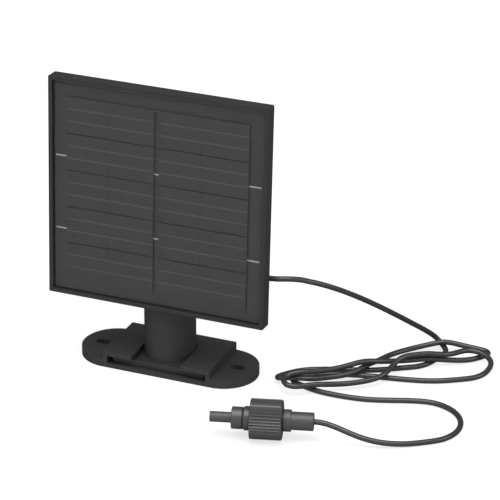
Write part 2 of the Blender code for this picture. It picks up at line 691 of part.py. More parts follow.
def make_junction_box(asm, finishes, frame):
    """Open box with corner bosses, its lid and the lid's screws."""
    outer = rounded_rectangle((BOX_LEFT, BOX_LOW), (BOX_RIGHT, BOX_HIGH), 3 * MM)
    inner = rounded_rectangle((BOX_LEFT + BOX_WALL, BOX_LOW + BOX_WALL),
                              (BOX_RIGHT - BOX_WALL, BOX_HIGH - BOX_WALL), 1.5 * MM)
    base = prism("junction_box", [outer], BOX_FLOOR, BOX_BACK, "Y")
    base = asm.part(base, finishes["plastic"], frame)
    asm.cut(base, prism("box_cavity", [inner], BOX_FLOOR + BOX_WALL, BOX_BACK + MM, "Y"))
    for number, (x, z) in enumerate(LID_SCREWS, 1):
        start = (x, BOX_FLOOR + 0.8 * MM, z)
        asm.join(base, rod(f"boss_{number}", start, (x, BOX_BACK - GAP, z), BOSS_RADIUS, 20))
        pilot = (x, BOX_FLOOR + 2.5 * MM, z)
        asm.cut(base, rod(f"pilot_{number}", pilot, (x, BOX_BACK + MM, z), PILOT_RADIUS, 16))
    x, z = WIRE_HOLE
    asm.cut(base, rod("box_wire_hole", (x, BOX_FLOOR - MM, z), (x, BOX_FLOOR + 3 * MM, z),
                      WIRE_HOLE_RADIUS, SMALL_ROUND))
    asm.cut(base, rod("gland_hole", (BOX_RIGHT - 3 * MM, CABLE_Y, CABLE_Z),
                      (BOX_RIGHT + MM, CABLE_Y, CABLE_Z), GLAND_RADIUS + GAP, SMALL_ROUND))
    holes = [circle(place, THIN_SCREW_HOLE, 12) for place in LID_SCREWS]
    lid_front = BOX_BACK + GAP
    asm.part(prism("junction_box_lid", [outer, *holes], lid_front, lid_front + LID_THICKNESS,
                   "Y"), finishes["plastic"], frame)
    seat = lid_front + LID_THICKNESS + GAP
    add_pan_screws(asm, "lid_screw", [(x, seat, z) for x, z in LID_SCREWS], LID_SCREW,
                   finishes["steel"], frame)


def make_gland(asm, rubber, frame):
    """Rubber grommet where the cable leaves the box: a flange inside and a collar outside."""
    inside = BOX_RIGHT - BOX_WALL - GAP
    outside = BOX_RIGHT + GAP
    bore = CABLE_RADIUS + GAP
    tail = outside + GLAND_TAIL
    flange = inside - GLAND_FLANGE_THICKNESS
    profile = [(GLAND_RADIUS, tail), (GLAND_COLLAR_RADIUS, outside + GLAND_COLLAR_THICKNESS),
               (GLAND_COLLAR_RADIUS, outside), (GLAND_RADIUS, outside), (GLAND_RADIUS, inside),
               (GLAND_FLANGE_RADIUS, inside), (GLAND_FLANGE_RADIUS, flange), (bore, flange),
               (bore, tail)]
    gland = asm.part(turned("cable_gland", profile, SMALL_ROUND), rubber, frame)
    gland.matrix_local = (Matrix.Translation((0, CABLE_Y, CABLE_Z))
                          @ Matrix.Rotation(math.radians(90), 4, "Y"))


def make_wiring(asm, finishes, frame):
    """The two wires from the board and the blocking diode between one of them and the cable."""
    start_y = BOARD_BACK + GAP
    x, z = WIRE_HOLE
    upper = [(x, start_y, z + MM), (x, CABLE_Y - 2 * MM, z + MM), (x - 2 * MM, CABLE_Y, z + MM),
             (x - 8 * MM, CABLE_Y, z + MM)]
    lower = [(x, start_y, z - MM), (x, CABLE_Y - 1.2 * MM, z - MM), (x, CABLE_Y, z - 2.2 * MM),
             (x, CABLE_Y, CABLE_Z + 3 * MM)]
    asm.part(wire("positive_wire", upper, WIRE_RADIUS), finishes["red"], frame)
    asm.part(wire("negative_wire", lower, WIRE_RADIUS), finishes["black"], frame)
    profile = [(0, 7 * MM), (0.4 * MM, 7 * MM), (0.4 * MM, 2.6 * MM), (1.35 * MM, 2.6 * MM),
               (1.35 * MM, -2.6 * MM), (0.4 * MM, -2.6 * MM), (0.4 * MM, -7 * MM), (0, -7 * MM)]
    diode = asm.part(turned("blocking_diode", profile, 16), finishes["black"], frame)
    diode.matrix_local = Matrix.Translation((x - 10 * MM, CABLE_Y, CABLE_Z + 1.5 * MM))


# ---- cable --------------------------------------------------------------------------


def strand(left, right, swing_middle, swing_length, order):
    """Guide points of a stretch that runs along the hank, from its left part to its right part.

    The stretch lies at v = left, then swings over to v = right. A stretch of higher order
    lies over those of lower order.
    """
    count = round((STRAND_RIGHT - STRAND_LEFT) / STRAND_STEP)
    points = []
    for i in range(count + 1):
        u = STRAND_LEFT + (STRAND_RIGHT - STRAND_LEFT) * i / count
        t = min(max((u - swing_middle) / swing_length + 0.5, 0), 1)
        points.append((u, left + (right - left) * t * t * (3 - 2 * t), order))
    return points


def bend(centre, radius, start, end, sides, order):
    """Guide points of a round bend in the hank's frame."""
    return [(u, v, order) for u, v in arc(centre, radius, start, end, sides)]


def hank_guides():
    """The cable's way over the ground, as (u, v, order) in millimetres."""
    landing = bend(LANDING_CENTRE, LANDING_RADIUS, 20, -70, 2, 0)
    home = strand(5.5, -4, -24, 45, 0)[-3::-1]
    outer = strand(-10.5, 15.5, -6, 46, 1)[:-1]
    top = strand(-10, -3.5, -22, 58, 2)[::-1]
    crossing = strand(-19.5, -4.5, -2.5, 24, 3)[:-1]
    near = strand(-1.5, -25, -6, 74, 0)[-2::-1]
    left_tip = (-66, -2, 0.5)
    right_tip = (61, 2.5, 1.5)
    second_left_tip = bend((-60, -14.8), 5.5, 115, 245, 2, 2.5)
    second_right_tip = (57.5, -9, 1.5)
    return [*landing, *home, left_tip, *outer, (47.5, 11.5, 1), right_tip, *top, *second_left_tip,
            *crossing, (48, 1, 3), second_right_tip, (53.5, -18.5, 0.6), (45, -24.5, 0), *near,
            (-58, -5, 0), (-53.5, -11.5, 0), (-45, -22, 0), (-24, -35.5, 0),
            *bend(TAIL_CENTRE, TAIL_RADIUS, 75, -100, 6, 0)]


def evened(points, passes):
    """The points with their bends evened out, as a springy cable does; both ends stay."""
    line = np.array(points)
    for _ in range(passes):
        line[1:-1] = (line[:-2] + 2 * line[1:-1] + line[2:]) / 4
    return line


def resting_heights(plan, orders):
    """Height of each point of a stiff cable that rests on the ground and on what lies below it."""
    count = len(plan)
    index = np.arange(count)
    apart = np.linalg.norm(plan[:, None] - plan[None], axis=2)
    over = orders[:, None] > orders[None] + LEAST_ORDER_STEP
    elsewhere = abs(index[:, None] - index[None]) * REST_STEP > NEAR_ALONG_CABLE
    upper, lower = np.nonzero((apart < LEVEL_PITCH) & over & elsewhere)
    lift = np.sqrt(LEVEL_PITCH ** 2 - apart[upper, lower] ** 2)
    droop = CABLE_DROOP * REST_STEP ** 2 / 2
    height = np.full(count, CABLE_RADIUS)
    for _ in range(REST_PASSES):
        held = np.full(count, CABLE_RADIUS)
        np.maximum.at(held, upper, height[lower] + lift)
        span = (np.r_[CABLE_RADIUS, height[:-1]] + np.r_[height[1:], CABLE_RADIUS]) / 2 - droop
        height = np.maximum(held, span)
    return height


def bezier(points, step):
    """Points about step apart on a cubic Bezier curve, without its last one."""
    a, b, c, d = points
    count = max(1, round(((b - a).length + (c - b).length + (d - c).length) / step))
    ts = [i / count for i in range(count)]
    return [(1 - t) ** 3 * a + 3 * (1 - t) ** 2 * t * b + 3 * (1 - t) * t * t * c + t ** 3 * d
            for t in ts]


def ground_path():
    """The cable from where it lands to the end of the tail's bend."""
    guides = [Vector((u * MM, v * MM, order)) for u, v, order in hank_guides()]
    samples = smooth_path(guides, REST_STEP, ignore_z=True)
    plan = evened([(p.x, p.y) for p in samples], GROUND_EVENING)
    orders = np.array([p.z for p in samples])
    heights = evened(resting_heights(plan, orders), HEIGHT_EVENING)
    turn = Matrix.Rotation(HANK_HEADING, 3, "Z")
    rows = range(0, len(samples), round(CABLE_STEP / REST_STEP))
    return [HANK_CENTRE + turn @ Vector((*plan[i], heights[i])) for i in rows]


def cable_sections(panel):
    """The free lead, and the stretch on the ground with its tail up to the plug."""
    start = panel.matrix_world @ Vector((BOX_RIGHT - 7 * MM, CABLE_Y, CABLE_Z))
    leaves = panel.matrix_world @ Vector((BOX_RIGHT + 7 * MM, CABLE_Y, CABLE_Z))
    ground = ground_path()
    turn = Matrix.Rotation(HANK_HEADING, 3, "Z")
    touch = (ground[1] - ground[0]).normalized()
    fall = Vector((math.cos(FALL_HEADING) * math.cos(FALL_SLOPE),
                   math.sin(FALL_HEADING) * math.cos(FALL_SLOPE), -math.sin(FALL_SLOPE)))
    foot = ground[0] + turn @ Vector(FALL_FOOT)
    hang = bezier([leaves, leaves + Vector(LEAD_SHOULDER), foot - fall * FALL_LENGTH, foot],
                  REST_STEP)
    curl = bezier([foot, foot + fall * CURL_REACH, ground[0] - touch * CURL_REACH, ground[0]],
                  REST_STEP)
    free = evened([*hang, *curl, ground[0]], LEAD_EVENING)
    # Every CABLE_STEP back from the ground, so that the last stretch isn't a short one.
    free = [Vector(point) for point in free[::-round(CABLE_STEP / REST_STEP)][:0:-1]]
    lead = [start, leaves, *(point for point in free if (point - leaves).length > CABLE_STEP / 2)]
    plug = plug_place()
    relief_end = NUT_LENGTH / 2 + RELIEF_COLLAR_LENGTH + RELIEF_LENGTH
    enters = plug @ Vector((relief_end + 2 * MM, 0, 0))
    inside = plug @ Vector((relief_end - 7 * MM, 0, 0))
    runs_out = (ground[-1] - ground[-2]).normalized()
    approach = plug @ Vector((relief_end + PLUG_APPROACH, 0, -PLUG_DIP))
    tail = bezier([ground[-1], ground[-1] + runs_out * TAIL_RUN, approach, enters], CABLE_STEP)
    return lead, [*ground, *tail[1:], enters, inside]


def make_cable(asm, sheath, panel):
    """The cable, parted where it meets the ground: the free lead and the coil with its tail."""
    lead, coil = cable_sections(panel)
    # The lead ends square to the coil's first stretch, so that their end faces stay apart.
    ahead = (coil[1] - coil[0]).normalized()
    end = [coil[0] - ahead * CABLE_RADIUS, coil[0] - ahead * GAP]
    asm.part(wire("cable_lead", [*lead, *end], CABLE_RADIUS), sheath)
    asm.part(wire("cable_coil", coil, CABLE_RADIUS), sheath)


# ---- plug ---------------------------------------------------------------------------


def plug_place():
    return Matrix.Translation(PLUG_CENTRE) @ Matrix.Rotation(PLUG_HEADING, 4, "Z")


def along_plug(asm, made, finish, frame):
    """Lays a turned piece, whose axis is Z, along the plug's X."""
    part = asm.part(made, finish, frame)
    part.matrix_local = Matrix.Rotation(math.radians(90), 4, "Y")
    return part


def nut_outline():
    """Cross-section of the nut: ribbed arcs between plain lobes."""
    points = []
    lobe_arc = math.tau / NUT_LOBES - NUT_RIBBED_ARC
    pitch = NUT_RIBBED_ARC / NUT_RIBS
    valley = NUT_RADIUS - RIB_HEIGHT
    for lobe in range(NUT_LOBES):
        start = math.tau * lobe / NUT_LOBES + NUT_FIRST_RIB
        for rib in range(NUT_RIBS):
            angle = start + pitch * rib
            points += [(valley, angle), (valley, angle + 0.35 * pitch),
                       (NUT_RADIUS, angle + 0.5 * pitch), (NUT_RADIUS, angle + 0.85 * pitch)]
        points += [(valley, start + NUT_RIBBED_ARC)]
        points += [(NUT_RADIUS, start + NUT_RIBBED_ARC + lobe_arc * step / 5) for step in range(1, 6)]
    return [(radius * math.cos(angle), radius * math.sin(angle)) for radius, angle in points]


def make_lock_nut(asm, plastic, frame):
    """Ribbed nut that turns freely on the plug, deep enough in front to cover the collar."""
    half = NUT_LENGTH / 2
    nut = prism("lock_nut", [nut_outline(), circle((0, 0), CORE_RADIUS + GAP, ROUND)],
                -half, half, "X")
    nut = asm.part(nut, plastic, frame)
    asm.cut(nut, rod("nut_thread_bore", (-half - MM, 0, 0), (half - NUT_BACK_WALL, 0, 0),
                     COLLAR_RADIUS + GAP))
    return nut


def make_plug(asm, finishes, frame):
    """Barrel with its seal, the contact sleeve in front and the strain relief behind."""
    nut_front = -NUT_LENGTH / 2
    nut_back = NUT_LENGTH / 2
    collar_back = nut_front - GAP
    collar_front = collar_back - COLLAR_LENGTH
    groove_front = collar_front - GROOVE_WIDTH
    barrel_front = groove_front - BARREL_LENGTH
    socket = SLEEVE_RADIUS + GAP
    floor = barrel_front + SOCKET_DEPTH
    core_back = nut_back + GAP
    profile = [(0, core_back), (CORE_RADIUS, core_back), (CORE_RADIUS, collar_back),
               (COLLAR_RADIUS, collar_back), (COLLAR_RADIUS, collar_front),
               (GROOVE_RADIUS, collar_front), (GROOVE_RADIUS, groove_front),
               (BARREL_RADIUS, groove_front),
               (BARREL_RADIUS, barrel_front + 0.3 * MM), (BARREL_RADIUS - 0.3 * MM, barrel_front),
               (socket, barrel_front), (socket, floor), (0, floor)]
    along_plug(asm, turned("plug_barrel", profile, 36), finishes["plastic"], frame)
    seal_middle = (collar_front + groove_front) / 2
    ring = [(SEAL_RADIUS + SEAL_WIRE_RADIUS * math.sin(a), seal_middle + SEAL_WIRE_RADIUS * math.cos(a))
            for a in (math.tau * i / 6 for i in range(6))]
    along_plug(asm, turned("plug_o_ring", ring, SMALL_ROUND), finishes["rubber"], frame)
    tip = barrel_front - SLEEVE_LENGTH
    inside = floor - GAP
    sleeve = turned("plug_sleeve", tube_profile(tip, inside, SLEEVE_RADIUS, SLEEVE_BORE), 28)
    along_plug(asm, sleeve, finishes["nickel"], frame)
    insulator = turned("plug_insulator", tube_profile(tip + 0.2 * MM, inside, *INSULATOR_RADII), 16)
    along_plug(asm, insulator, finishes["black"], frame)
    contact = turned("plug_contact", tube_profile(tip + MM, inside, *CONTACT_RADII), 16)
    along_plug(asm, contact, finishes["nickel"], frame)
    relief_front = core_back + GAP
    relief_step = relief_front + RELIEF_COLLAR_LENGTH
    relief_back = relief_step + RELIEF_LENGTH
    bore = CABLE_RADIUS + GAP
    profile = [(0, relief_front + 3 * MM), (bore, relief_front + 3 * MM), (bore, relief_back),
               (RELIEF_RADIUS - 0.3 * MM, relief_back), (RELIEF_RADIUS, relief_back - 0.3 * MM),
               (RELIEF_RADIUS, relief_step), (RELIEF_COLLAR_RADIUS, relief_step),
               (RELIEF_COLLAR_RADIUS, relief_front), (0, relief_front)]
    along_plug(asm, turned("strain_relief", profile, 36), finishes["rubber"], frame)


# ---- whole object -------------------------------------------------------------------


def make_finishes():
    return {
        "plastic": material("black_plastic", (0.035, 0.035, 0.037), 0.5),
        "stand": material("stand_plastic", (0.06, 0.06, 0.063), 0.55),
        "knob": material("knob_plastic", (0.03, 0.03, 0.03), 0.45),
        "rubber": material("black_rubber", (0.05, 0.05, 0.05), 0.6),
        "sheath": material("cable_sheath", (0.06, 0.06, 0.06), 0.4),
        "steel": material("zinc_steel", (0.6, 0.6, 0.6), 0.35, 1.0),
        "nickel": material("nickel_plate", (0.55, 0.54, 0.52), 0.3, 1.0),
        "clear": material("clear_sheet", (0.3, 0.3, 0.3), 0.15),
        "silicon": material("solar_silicon", (0.06, 0.06, 0.065), 0.3),
        "tinned": material("tinned_ribbon", (0.5, 0.5, 0.5), 0.4, 1.0),
        "board": material("black_board", (0.05, 0.05, 0.05), 0.6),
        "red": material("red_wire", (0.4, 0.02, 0.02), 0.5),
        "black": material("black_insulation", (0.02, 0.02, 0.02), 0.5),
    }


def main():
    clear_scene()
    asm = Assembly()
    finishes = make_finishes()
    make_foot(asm, finishes["stand"])
    make_post(asm, finishes["stand"])
    make_swivel_head(asm, finishes["stand"])
    make_swivel_fasteners(asm, finishes["steel"])
    hinge = Matrix.Translation((0, 0, HINGE_Z)) @ Matrix.Rotation(-LEAN, 4, "X")
    panel = asm.frame("tilt_axis", hinge)
    make_bracket(asm, finishes["stand"], panel)
    make_tilt_fasteners(asm, finishes["steel"], finishes["knob"], panel)
    make_frame(asm, finishes["plastic"], panel)
    make_laminate(asm, finishes, panel)
    make_bus_ribbons(asm, finishes["tinned"], panel)
    make_back_cover(asm, finishes, panel)
    make_junction_box(asm, finishes, panel)
    make_gland(asm, finishes["rubber"], panel)
    make_wiring(asm, finishes, panel)
    make_cable(asm, finishes["sheath"], panel)
    plug = asm.frame("plug_axis", plug_place())
    make_plug(asm, finishes, plug)
    make_lock_nut(asm, finishes["plastic"], plug)


main()
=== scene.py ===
"""Looks of a small solar panel on a swivel stand, with a coiled lead and a screw-lock plug.

Metres, +Z up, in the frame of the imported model. The cells face -Y.
"""

import json
import math

import bmesh
import bpy
import numpy as np
from mathutils import Matrix, Vector


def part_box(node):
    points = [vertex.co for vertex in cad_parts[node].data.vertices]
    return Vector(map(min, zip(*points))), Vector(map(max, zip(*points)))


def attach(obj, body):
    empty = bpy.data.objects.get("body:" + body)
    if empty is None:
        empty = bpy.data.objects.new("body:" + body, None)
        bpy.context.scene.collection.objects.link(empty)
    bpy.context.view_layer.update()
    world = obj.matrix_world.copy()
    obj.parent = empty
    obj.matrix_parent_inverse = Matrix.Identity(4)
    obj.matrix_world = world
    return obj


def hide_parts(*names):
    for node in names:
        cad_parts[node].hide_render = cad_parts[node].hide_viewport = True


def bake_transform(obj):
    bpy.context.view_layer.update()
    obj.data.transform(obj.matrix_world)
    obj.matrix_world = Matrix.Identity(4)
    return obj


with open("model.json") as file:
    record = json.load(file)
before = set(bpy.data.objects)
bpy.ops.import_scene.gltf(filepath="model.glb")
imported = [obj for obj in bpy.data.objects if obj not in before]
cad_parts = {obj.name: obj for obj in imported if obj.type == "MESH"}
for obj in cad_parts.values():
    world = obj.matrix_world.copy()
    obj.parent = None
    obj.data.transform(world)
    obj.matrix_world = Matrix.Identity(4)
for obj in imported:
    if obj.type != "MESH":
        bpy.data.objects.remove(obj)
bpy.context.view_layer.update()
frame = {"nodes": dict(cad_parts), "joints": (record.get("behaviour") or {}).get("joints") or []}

MM = 0.001
GAP = 0.3 * MM  # clearance between neighbouring pieces
GRAIN_DEPTH = 0.008 * MM  # of the moulded plastic's surface
PLASTIC_WEAR = 0.35  # how much paler than the rest its worn edges are, at most 1
METAL_WEAR = 0.25

# Frames of the two tilted groups, from the joints.
JOINTS = {joint["name"]: joint for joint in frame["joints"]}
HINGE = Vector(JOINTS["tilt"]["pos_m"])
LEAN = math.radians(-JOINTS["tilt"]["range_deg"][0])  # the panel is upright at this limit
PANEL = Matrix.Translation(HINGE) @ Matrix.Rotation(-LEAN, 4, "X")
PLUG_AXIS = Vector(JOINTS["nut_turn"]["axis"])
PLUG_TURN = Matrix.Rotation(math.atan2(PLUG_AXIS.y, PLUG_AXIS.x), 4, "Z")
PLUG = Matrix.Translation(JOINTS["nut_turn"]["pos_m"]) @ PLUG_TURN
LATHE_ALONG_X = Matrix.Rotation(math.radians(90), 4, "Y")
PLUG_LATHE = PLUG @ LATHE_ALONG_X

# Details of the stand and its hinge that no box of the frame shows.
FOOT_THICKNESS = 5 * MM
BRIDGE_HALF_WIDTH = 32.6 * MM
SLOT_HALF_WIDTH = 30.2 * MM
SLOT_ROOF = 7.2 * MM
SLOT_BACK_WALL = 2.4 * MM
NOTCH_HALF_WIDTH = 15.1 * MM
SCREW_SLOT_X = 41.6 * MM
SCREW_SLOT_LENGTH = 8.2 * MM
SCREW_SLOT_WIDTH = 5 * MM
POST_WALL = 2.4 * MM
POST_ROOF = 3 * MM
POST_RADIUS = 14.7 * MM
SLIDE_TOP = 6.2 * MM
SPIGOT_RADIUS = 5 * MM
FLANGE_THICKNESS = 3 * MM
NECK_WIDTH = 12 * MM
NECK_DEPTH = 9 * MM
SWIVEL_PILOT_RADIUS = 2.3 * MM
SWIVEL_PILOT_DEPTH = 4 * MM  # above the flange
KNUCKLE_RADIUS = 7.6 * MM
BOLT_RADIUS = 2.5 * MM
BOLT_PLAY = 0.08 * MM
BOLT_HEAD_RADIUS = 4.6 * MM  # to its corners
BOLT_HEAD_HEIGHT = 3.4 * MM
KNOB_RADIUS = 6.6 * MM
KNOB_LOBE_DEPTH = 1.2 * MM
KNOB_LOBES = 5
KNOB_LIP_RADIUS = 3.2 * MM  # where its bore is countersunk
KNOB_SIDES = 160
EAR_THICKNESS = 3 * MM
BRACKET_THICKNESS = 2.4 * MM
SCREW_SIZES = {  # height of the head, radius of the shank
    "bracket_screw": (1.6 * MM, 1.5 * MM),
    "cover_screw": (MM, MM),
    "lid_screw": (1.2 * MM, 0.9 * MM),
}
SCREW_SPIN = math.radians(37)  # from one screw's recess to the next one's

# Details of the plug and of the grommet where the cable leaves the junction box.
NUT_RADIUS = 11 * MM
NUT_RIBS = 8  # on each ribbed arc
NUT_RIB_HEIGHT = 0.75 * MM
NUT_RIBBED_ARC = math.radians(75)
NUT_FIRST_RIB = math.radians(118)
NUT_FRONT_BORE = 6.9 * MM
NUT_REAR_BORE = 5.8 * MM
NUT_BACK_WALL = 3.5 * MM
SLEEVE_WALL = 0.65 * MM
BARREL_RADIUS = 6.05 * MM
SOCKET_DEPTH = 4 * MM
COLLAR_RADIUS = 6.6 * MM
COLLAR_LENGTH = 3 * MM
GROOVE_RADIUS = 5 * MM
GROOVE_WIDTH = MM
SEAL_RADIUS = 5.6 * MM
CORE_RADIUS = 5.5 * MM
RELIEF_COLLAR_RADIUS = 6.05 * MM
RELIEF_COLLAR_LENGTH = 4 * MM
RELIEF_RADIUS = 5 * MM
RELIEF_BORE_START = 3 * MM  # behind the relief's front face
GLAND_NECK_RADIUS = 2.6 * MM
GLAND_FLANGE_RADIUS = 3.5 * MM  # inside the box
GLAND_FLANGE_THICKNESS = 1.2 * MM
GLAND_COLLAR_THICKNESS = 1.5 * MM  # outside the box
GLAND_RIBS = 4
GLAND_RIB_RADIUS = 3.6 * MM  # of the first rib; each next one is smaller
GLAND_TAPER = 1.2 * MM

# Details of the cable and of the laminate.
CABLE_RADIUS = 1.55 * MM
CABLE_POINT_STEP = 1.3 * MM
LEAD_HANGS_AFTER = 28 * MM  # along X from the start of the lead
LEAD_LANDS_BELOW = 0.45  # of the height at which the lead starts
WAFER_SETBACK = 0.15 * MM  # of a cell's silicon, behind the face of its CAD box
BUSBAR_OFFSET = 3.6 * MM  # above and below the cell's middle
BUSBAR_WIDTH = 0.62 * MM
BUSBAR_MARGIN = 0.2 * MM
LINK_TAB_WIDTH = 0.7 * MM
LINK_TAB_DROP = 0.35 * MM  # below the cells' top edge
FINGER_PITCH = 1.75 * MM
WEAVE_PITCH = 0.55 * MM
SCRIBE_OFFSET = 1.4 * MM  # of a column's scribe line, left of the column's middle
SHEET_CLEARNESS = 0.9  # share of light that passes each face of the front sheet

# Light and floor.
WORLD_LIGHT = (0.35, 0.95)  # from below and from above, for matt surfaces
WORLD_GLOSS = (0.08, 0.62)  # from behind and from in front, for reflections
FLOOR_GLOW = 0.7  # the share of the floor's look that is its own light
FLOOR_REACH = 6  # from its middle to each side
LIGHTS_TARGET = (0.04, 0, 0.06)
SOFTBOXES = {  # place, size, watts
    "overhead": ((0.1, -0.35, 1.3), (1.3, 1.2), 18),
    "right_side": ((1.5, 0.1, 0.8), (0.9, 0.9), 6),
}

# Viewpoint.
CAMERA_TARGET = Vector((41.5 * MM, 17 * MM, 70 * MM))
CAMERA_AZIMUTH = math.radians(22.3)
CAMERA_ELEVATION = math.radians(24.8)
CAMERA_ROLL = math.radians(0.25)
CAMERA_DISTANCE = 1.42
CAMERA_LENS = 183.4  # millimetres, on a sensor SENSOR_WIDTH wide
SENSOR_WIDTH = 36


# ---- materials ----


class Finish:
    """A Principled material in the making, with short names for its texture nodes."""

    def __init__(self, name, roughness=0.5, metallic=0.0, specular=0.5):
        self.made = bpy.data.materials.new(name)
        self.made.use_nodes = True
        self.nodes = self.made.node_tree.nodes
        self.links = self.made.node_tree.links
        self.shader = self.nodes["Principled BSDF"]
        self.shader.inputs["Roughness"].default_value = roughness
        self.shader.inputs["Metallic"].default_value = metallic
        self.shader.inputs["Specular IOR Level"].default_value = specular
        self.coordinates = self.nodes.new("ShaderNodeTexCoord").outputs["Object"]

    def feed(self, socket, value):
        """Gives an input a plain value or another node's output."""
        if isinstance(value, bpy.types.NodeSocket):
            self.links.new(value, socket)
        elif isinstance(value, tuple) and len(value) == 3 and socket.type == "RGBA":
            socket.default_value = (*value, 1)
        else:
            socket.default_value = value

    def stretched(self, factors, rotation=(0, 0, 0)):
        """The piece's coordinates, scaled by a factor on each axis."""
        mapping = self.nodes.new("ShaderNodeMapping")
        self.links.new(self.coordinates, mapping.inputs["Vector"])
        mapping.inputs["Scale"].default_value = factors
        mapping.inputs["Rotation"].default_value = rotation
        return mapping.outputs["Vector"]

    def noise(self, feature, detail=2.0, vector=None, roughness=0.5):
        """Noise from 0 to 1 whose features are about one feature size across."""
        node = self.nodes.new("ShaderNodeTexNoise")
        node.inputs["Scale"].default_value = 1 / feature
        node.inputs["Detail"].default_value = detail
        node.inputs["Roughness"].default_value = roughness
        self.links.new(vector or self.coordinates, node.inputs["Vector"])
        return node.outputs["Fac"]

    def ranged(self, source, from_low, from_high, to_low, to_high):
        """Source mapped from one range to another, clamped."""
        node = self.nodes.new("ShaderNodeMapRange")
        for name, value in (("Value", source), ("From Min", from_low), ("From Max", from_high),
                            ("To Min", to_low), ("To Max", to_high)):
            self.feed(node.inputs[name], value)
        return node.outputs["Result"]

    def axes(self):
        """The piece's coordinates, one output for each axis."""
        split = self.nodes.new("ShaderNodeSeparateXYZ")
        self.links.new(self.coordinates, split.inputs["Vector"])
        return split.outputs

    def math(self, operation, *values):
        node = self.nodes.new("ShaderNodeMath")
        node.operation = operation
        for socket, value in zip(node.inputs, values):
            self.feed(socket, value)
        return node.outputs["Value"]

    def mixed(self, factor, first, second):
        """A colour between two."""
        node = self.nodes.new("ShaderNodeMix")
        node.data_type = "RGBA"
        self.feed(node.inputs["Factor"], factor)
        self.feed(node.inputs[6], first)
        self.feed(node.inputs[7], second)
        return node.outputs[2]

    def colour(self, value):
        self.feed(self.shader.inputs["Base Color"], value)

    def roughness(self, value):
        self.feed(self.shader.inputs["Roughness"], value)

    def bump(self, height, depth, under=None):
        """Bump of a height from 0 to 1 that stands for depth; under is an earlier bump."""
        node = self.nodes.new("ShaderNodeBump")
        node.inputs["Strength"].default_value = 1
        node.inputs["Distance"].default_value = depth
        self.links.new(height, node.inputs["Height"])
        if under:
            self.links.new(under, node.inputs["Normal"])
        self.links.new(node.outputs["Normal"], self.shader.inputs["Normal"])
        return node.outputs["Normal"]

    def edges(self, radius):
        """A mask that is 1 on sharp edges and 0 on flat faces."""
        bevel = self.nodes.new("ShaderNodeBevel")
        bevel.samples = 4
        bevel.inputs["Radius"].default_value = radius
        geometry = self.nodes.new("ShaderNodeNewGeometry")
        dot = self.nodes.new("ShaderNodeVectorMath")
        dot.operation = "DOT_PRODUCT"
        self.links.new(bevel.outputs["Normal"], dot.inputs[0])
        self.links.new(geometry.outputs["True Normal"], dot.inputs[1])
        return self.ranged(dot.outputs["Value"], 0.97, 0.75, 0.0, 1.0)

    def surface(self, share, first, second):
        """Ends the material in a mix of two shaders; share is the second one's part."""
        mix = self.nodes.new("ShaderNodeMixShader")
        self.feed(mix.inputs["Fac"], share)
        self.links.new(first, mix.inputs[1])
        self.links.new(second, mix.inputs[2])
        self.links.new(mix.outputs["Shader"], self.nodes["Material Output"].inputs["Surface"])


def grey(value, warmth=0.0):
    """A neutral linear colour, slightly warm or cool."""
    return (value * (1 + warmth), value, value * (1 - warmth))


def moulded_plastic(name, value, roughness, specular=0.25, grain=0.4 * MM):
    """Injection-moulded plastic: flow marks, fine spark-eroded grain, faint handling scuffs."""
    finish = Finish(name, roughness, specular=specular)
    flow = finish.noise(28 * MM, 3)
    speckle = finish.noise(0.6 * MM, 2)
    body = finish.mixed(flow, grey(value * 0.9), grey(value * 1.1, 0.004))
    body = finish.mixed(finish.ranged(speckle, 0.4, 0.8, 0.0, 0.2), body, grey(value * 1.4))
    rubbed = finish.math("MULTIPLY", finish.edges(0.35 * MM), PLASTIC_WEAR)
    patches = finish.ranged(finish.noise(5 * MM, 4), 0.3, 0.7, 0.3, 1)
    rubbed = finish.math("MULTIPLY", rubbed, patches)
    finish.colour(finish.mixed(rubbed, body, grey(value * 1.8 + 0.01)))
    scuffs = finish.noise(1.2 * MM, 3, finish.stretched((1, 1, 0.06), (0.3, 0.5, 0.2)))
    streak = finish.ranged(scuffs, 0.62, 0.75, 0.0, 0.08)
    base = finish.ranged(flow, 0.2, 0.8, roughness - 0.04, roughness + 0.05)
    finish.roughness(finish.math("SUBTRACT", base, streak))
    finish.bump(finish.noise(grain, 3, roughness=0.6), GRAIN_DEPTH)
    return finish.made


def cable_sheath(name, value, tint=(1, 1, 1)):
    """Extruded vinyl: satin, with a slow ripple and a little dust."""

    def shade(share):
        return tuple(value * share * part for part in tint)

    finish = Finish(name, 0.26, specular=0.6)
    tone = finish.noise(9 * MM, 3)
    dust = finish.ranged(finish.noise(0.9 * MM, 4), 0.58, 0.82, 0.0, 0.07)
    body = finish.mixed(tone, shade(0.88), shade(1.12))
    finish.colour(finish.mixed(dust, body, shade(1.7)))
    finish.roughness(finish.ranged(tone, 0.2, 0.8, 0.23, 0.31))
    ripple = finish.bump(finish.noise(4 * MM, 2), 0.015 * MM)
    finish.bump(finish.noise(0.3 * MM, 2), 0.003 * MM, under=ripple)
    return finish.made


def rubber(name, value):
    """Soft matte rubber with a chalky bloom."""
    finish = Finish(name, 0.62, specular=0.35)
    bloom = finish.noise(4 * MM, 5)
    finish.colour(finish.mixed(bloom, grey(value * 0.85), grey(value * 1.2, 0.01)))
    finish.roughness(finish.ranged(bloom, 0.3, 0.7, 0.55, 0.72))
    finish.bump(finish.noise(0.3 * MM, 3), 0.012 * MM)
    return finish.made


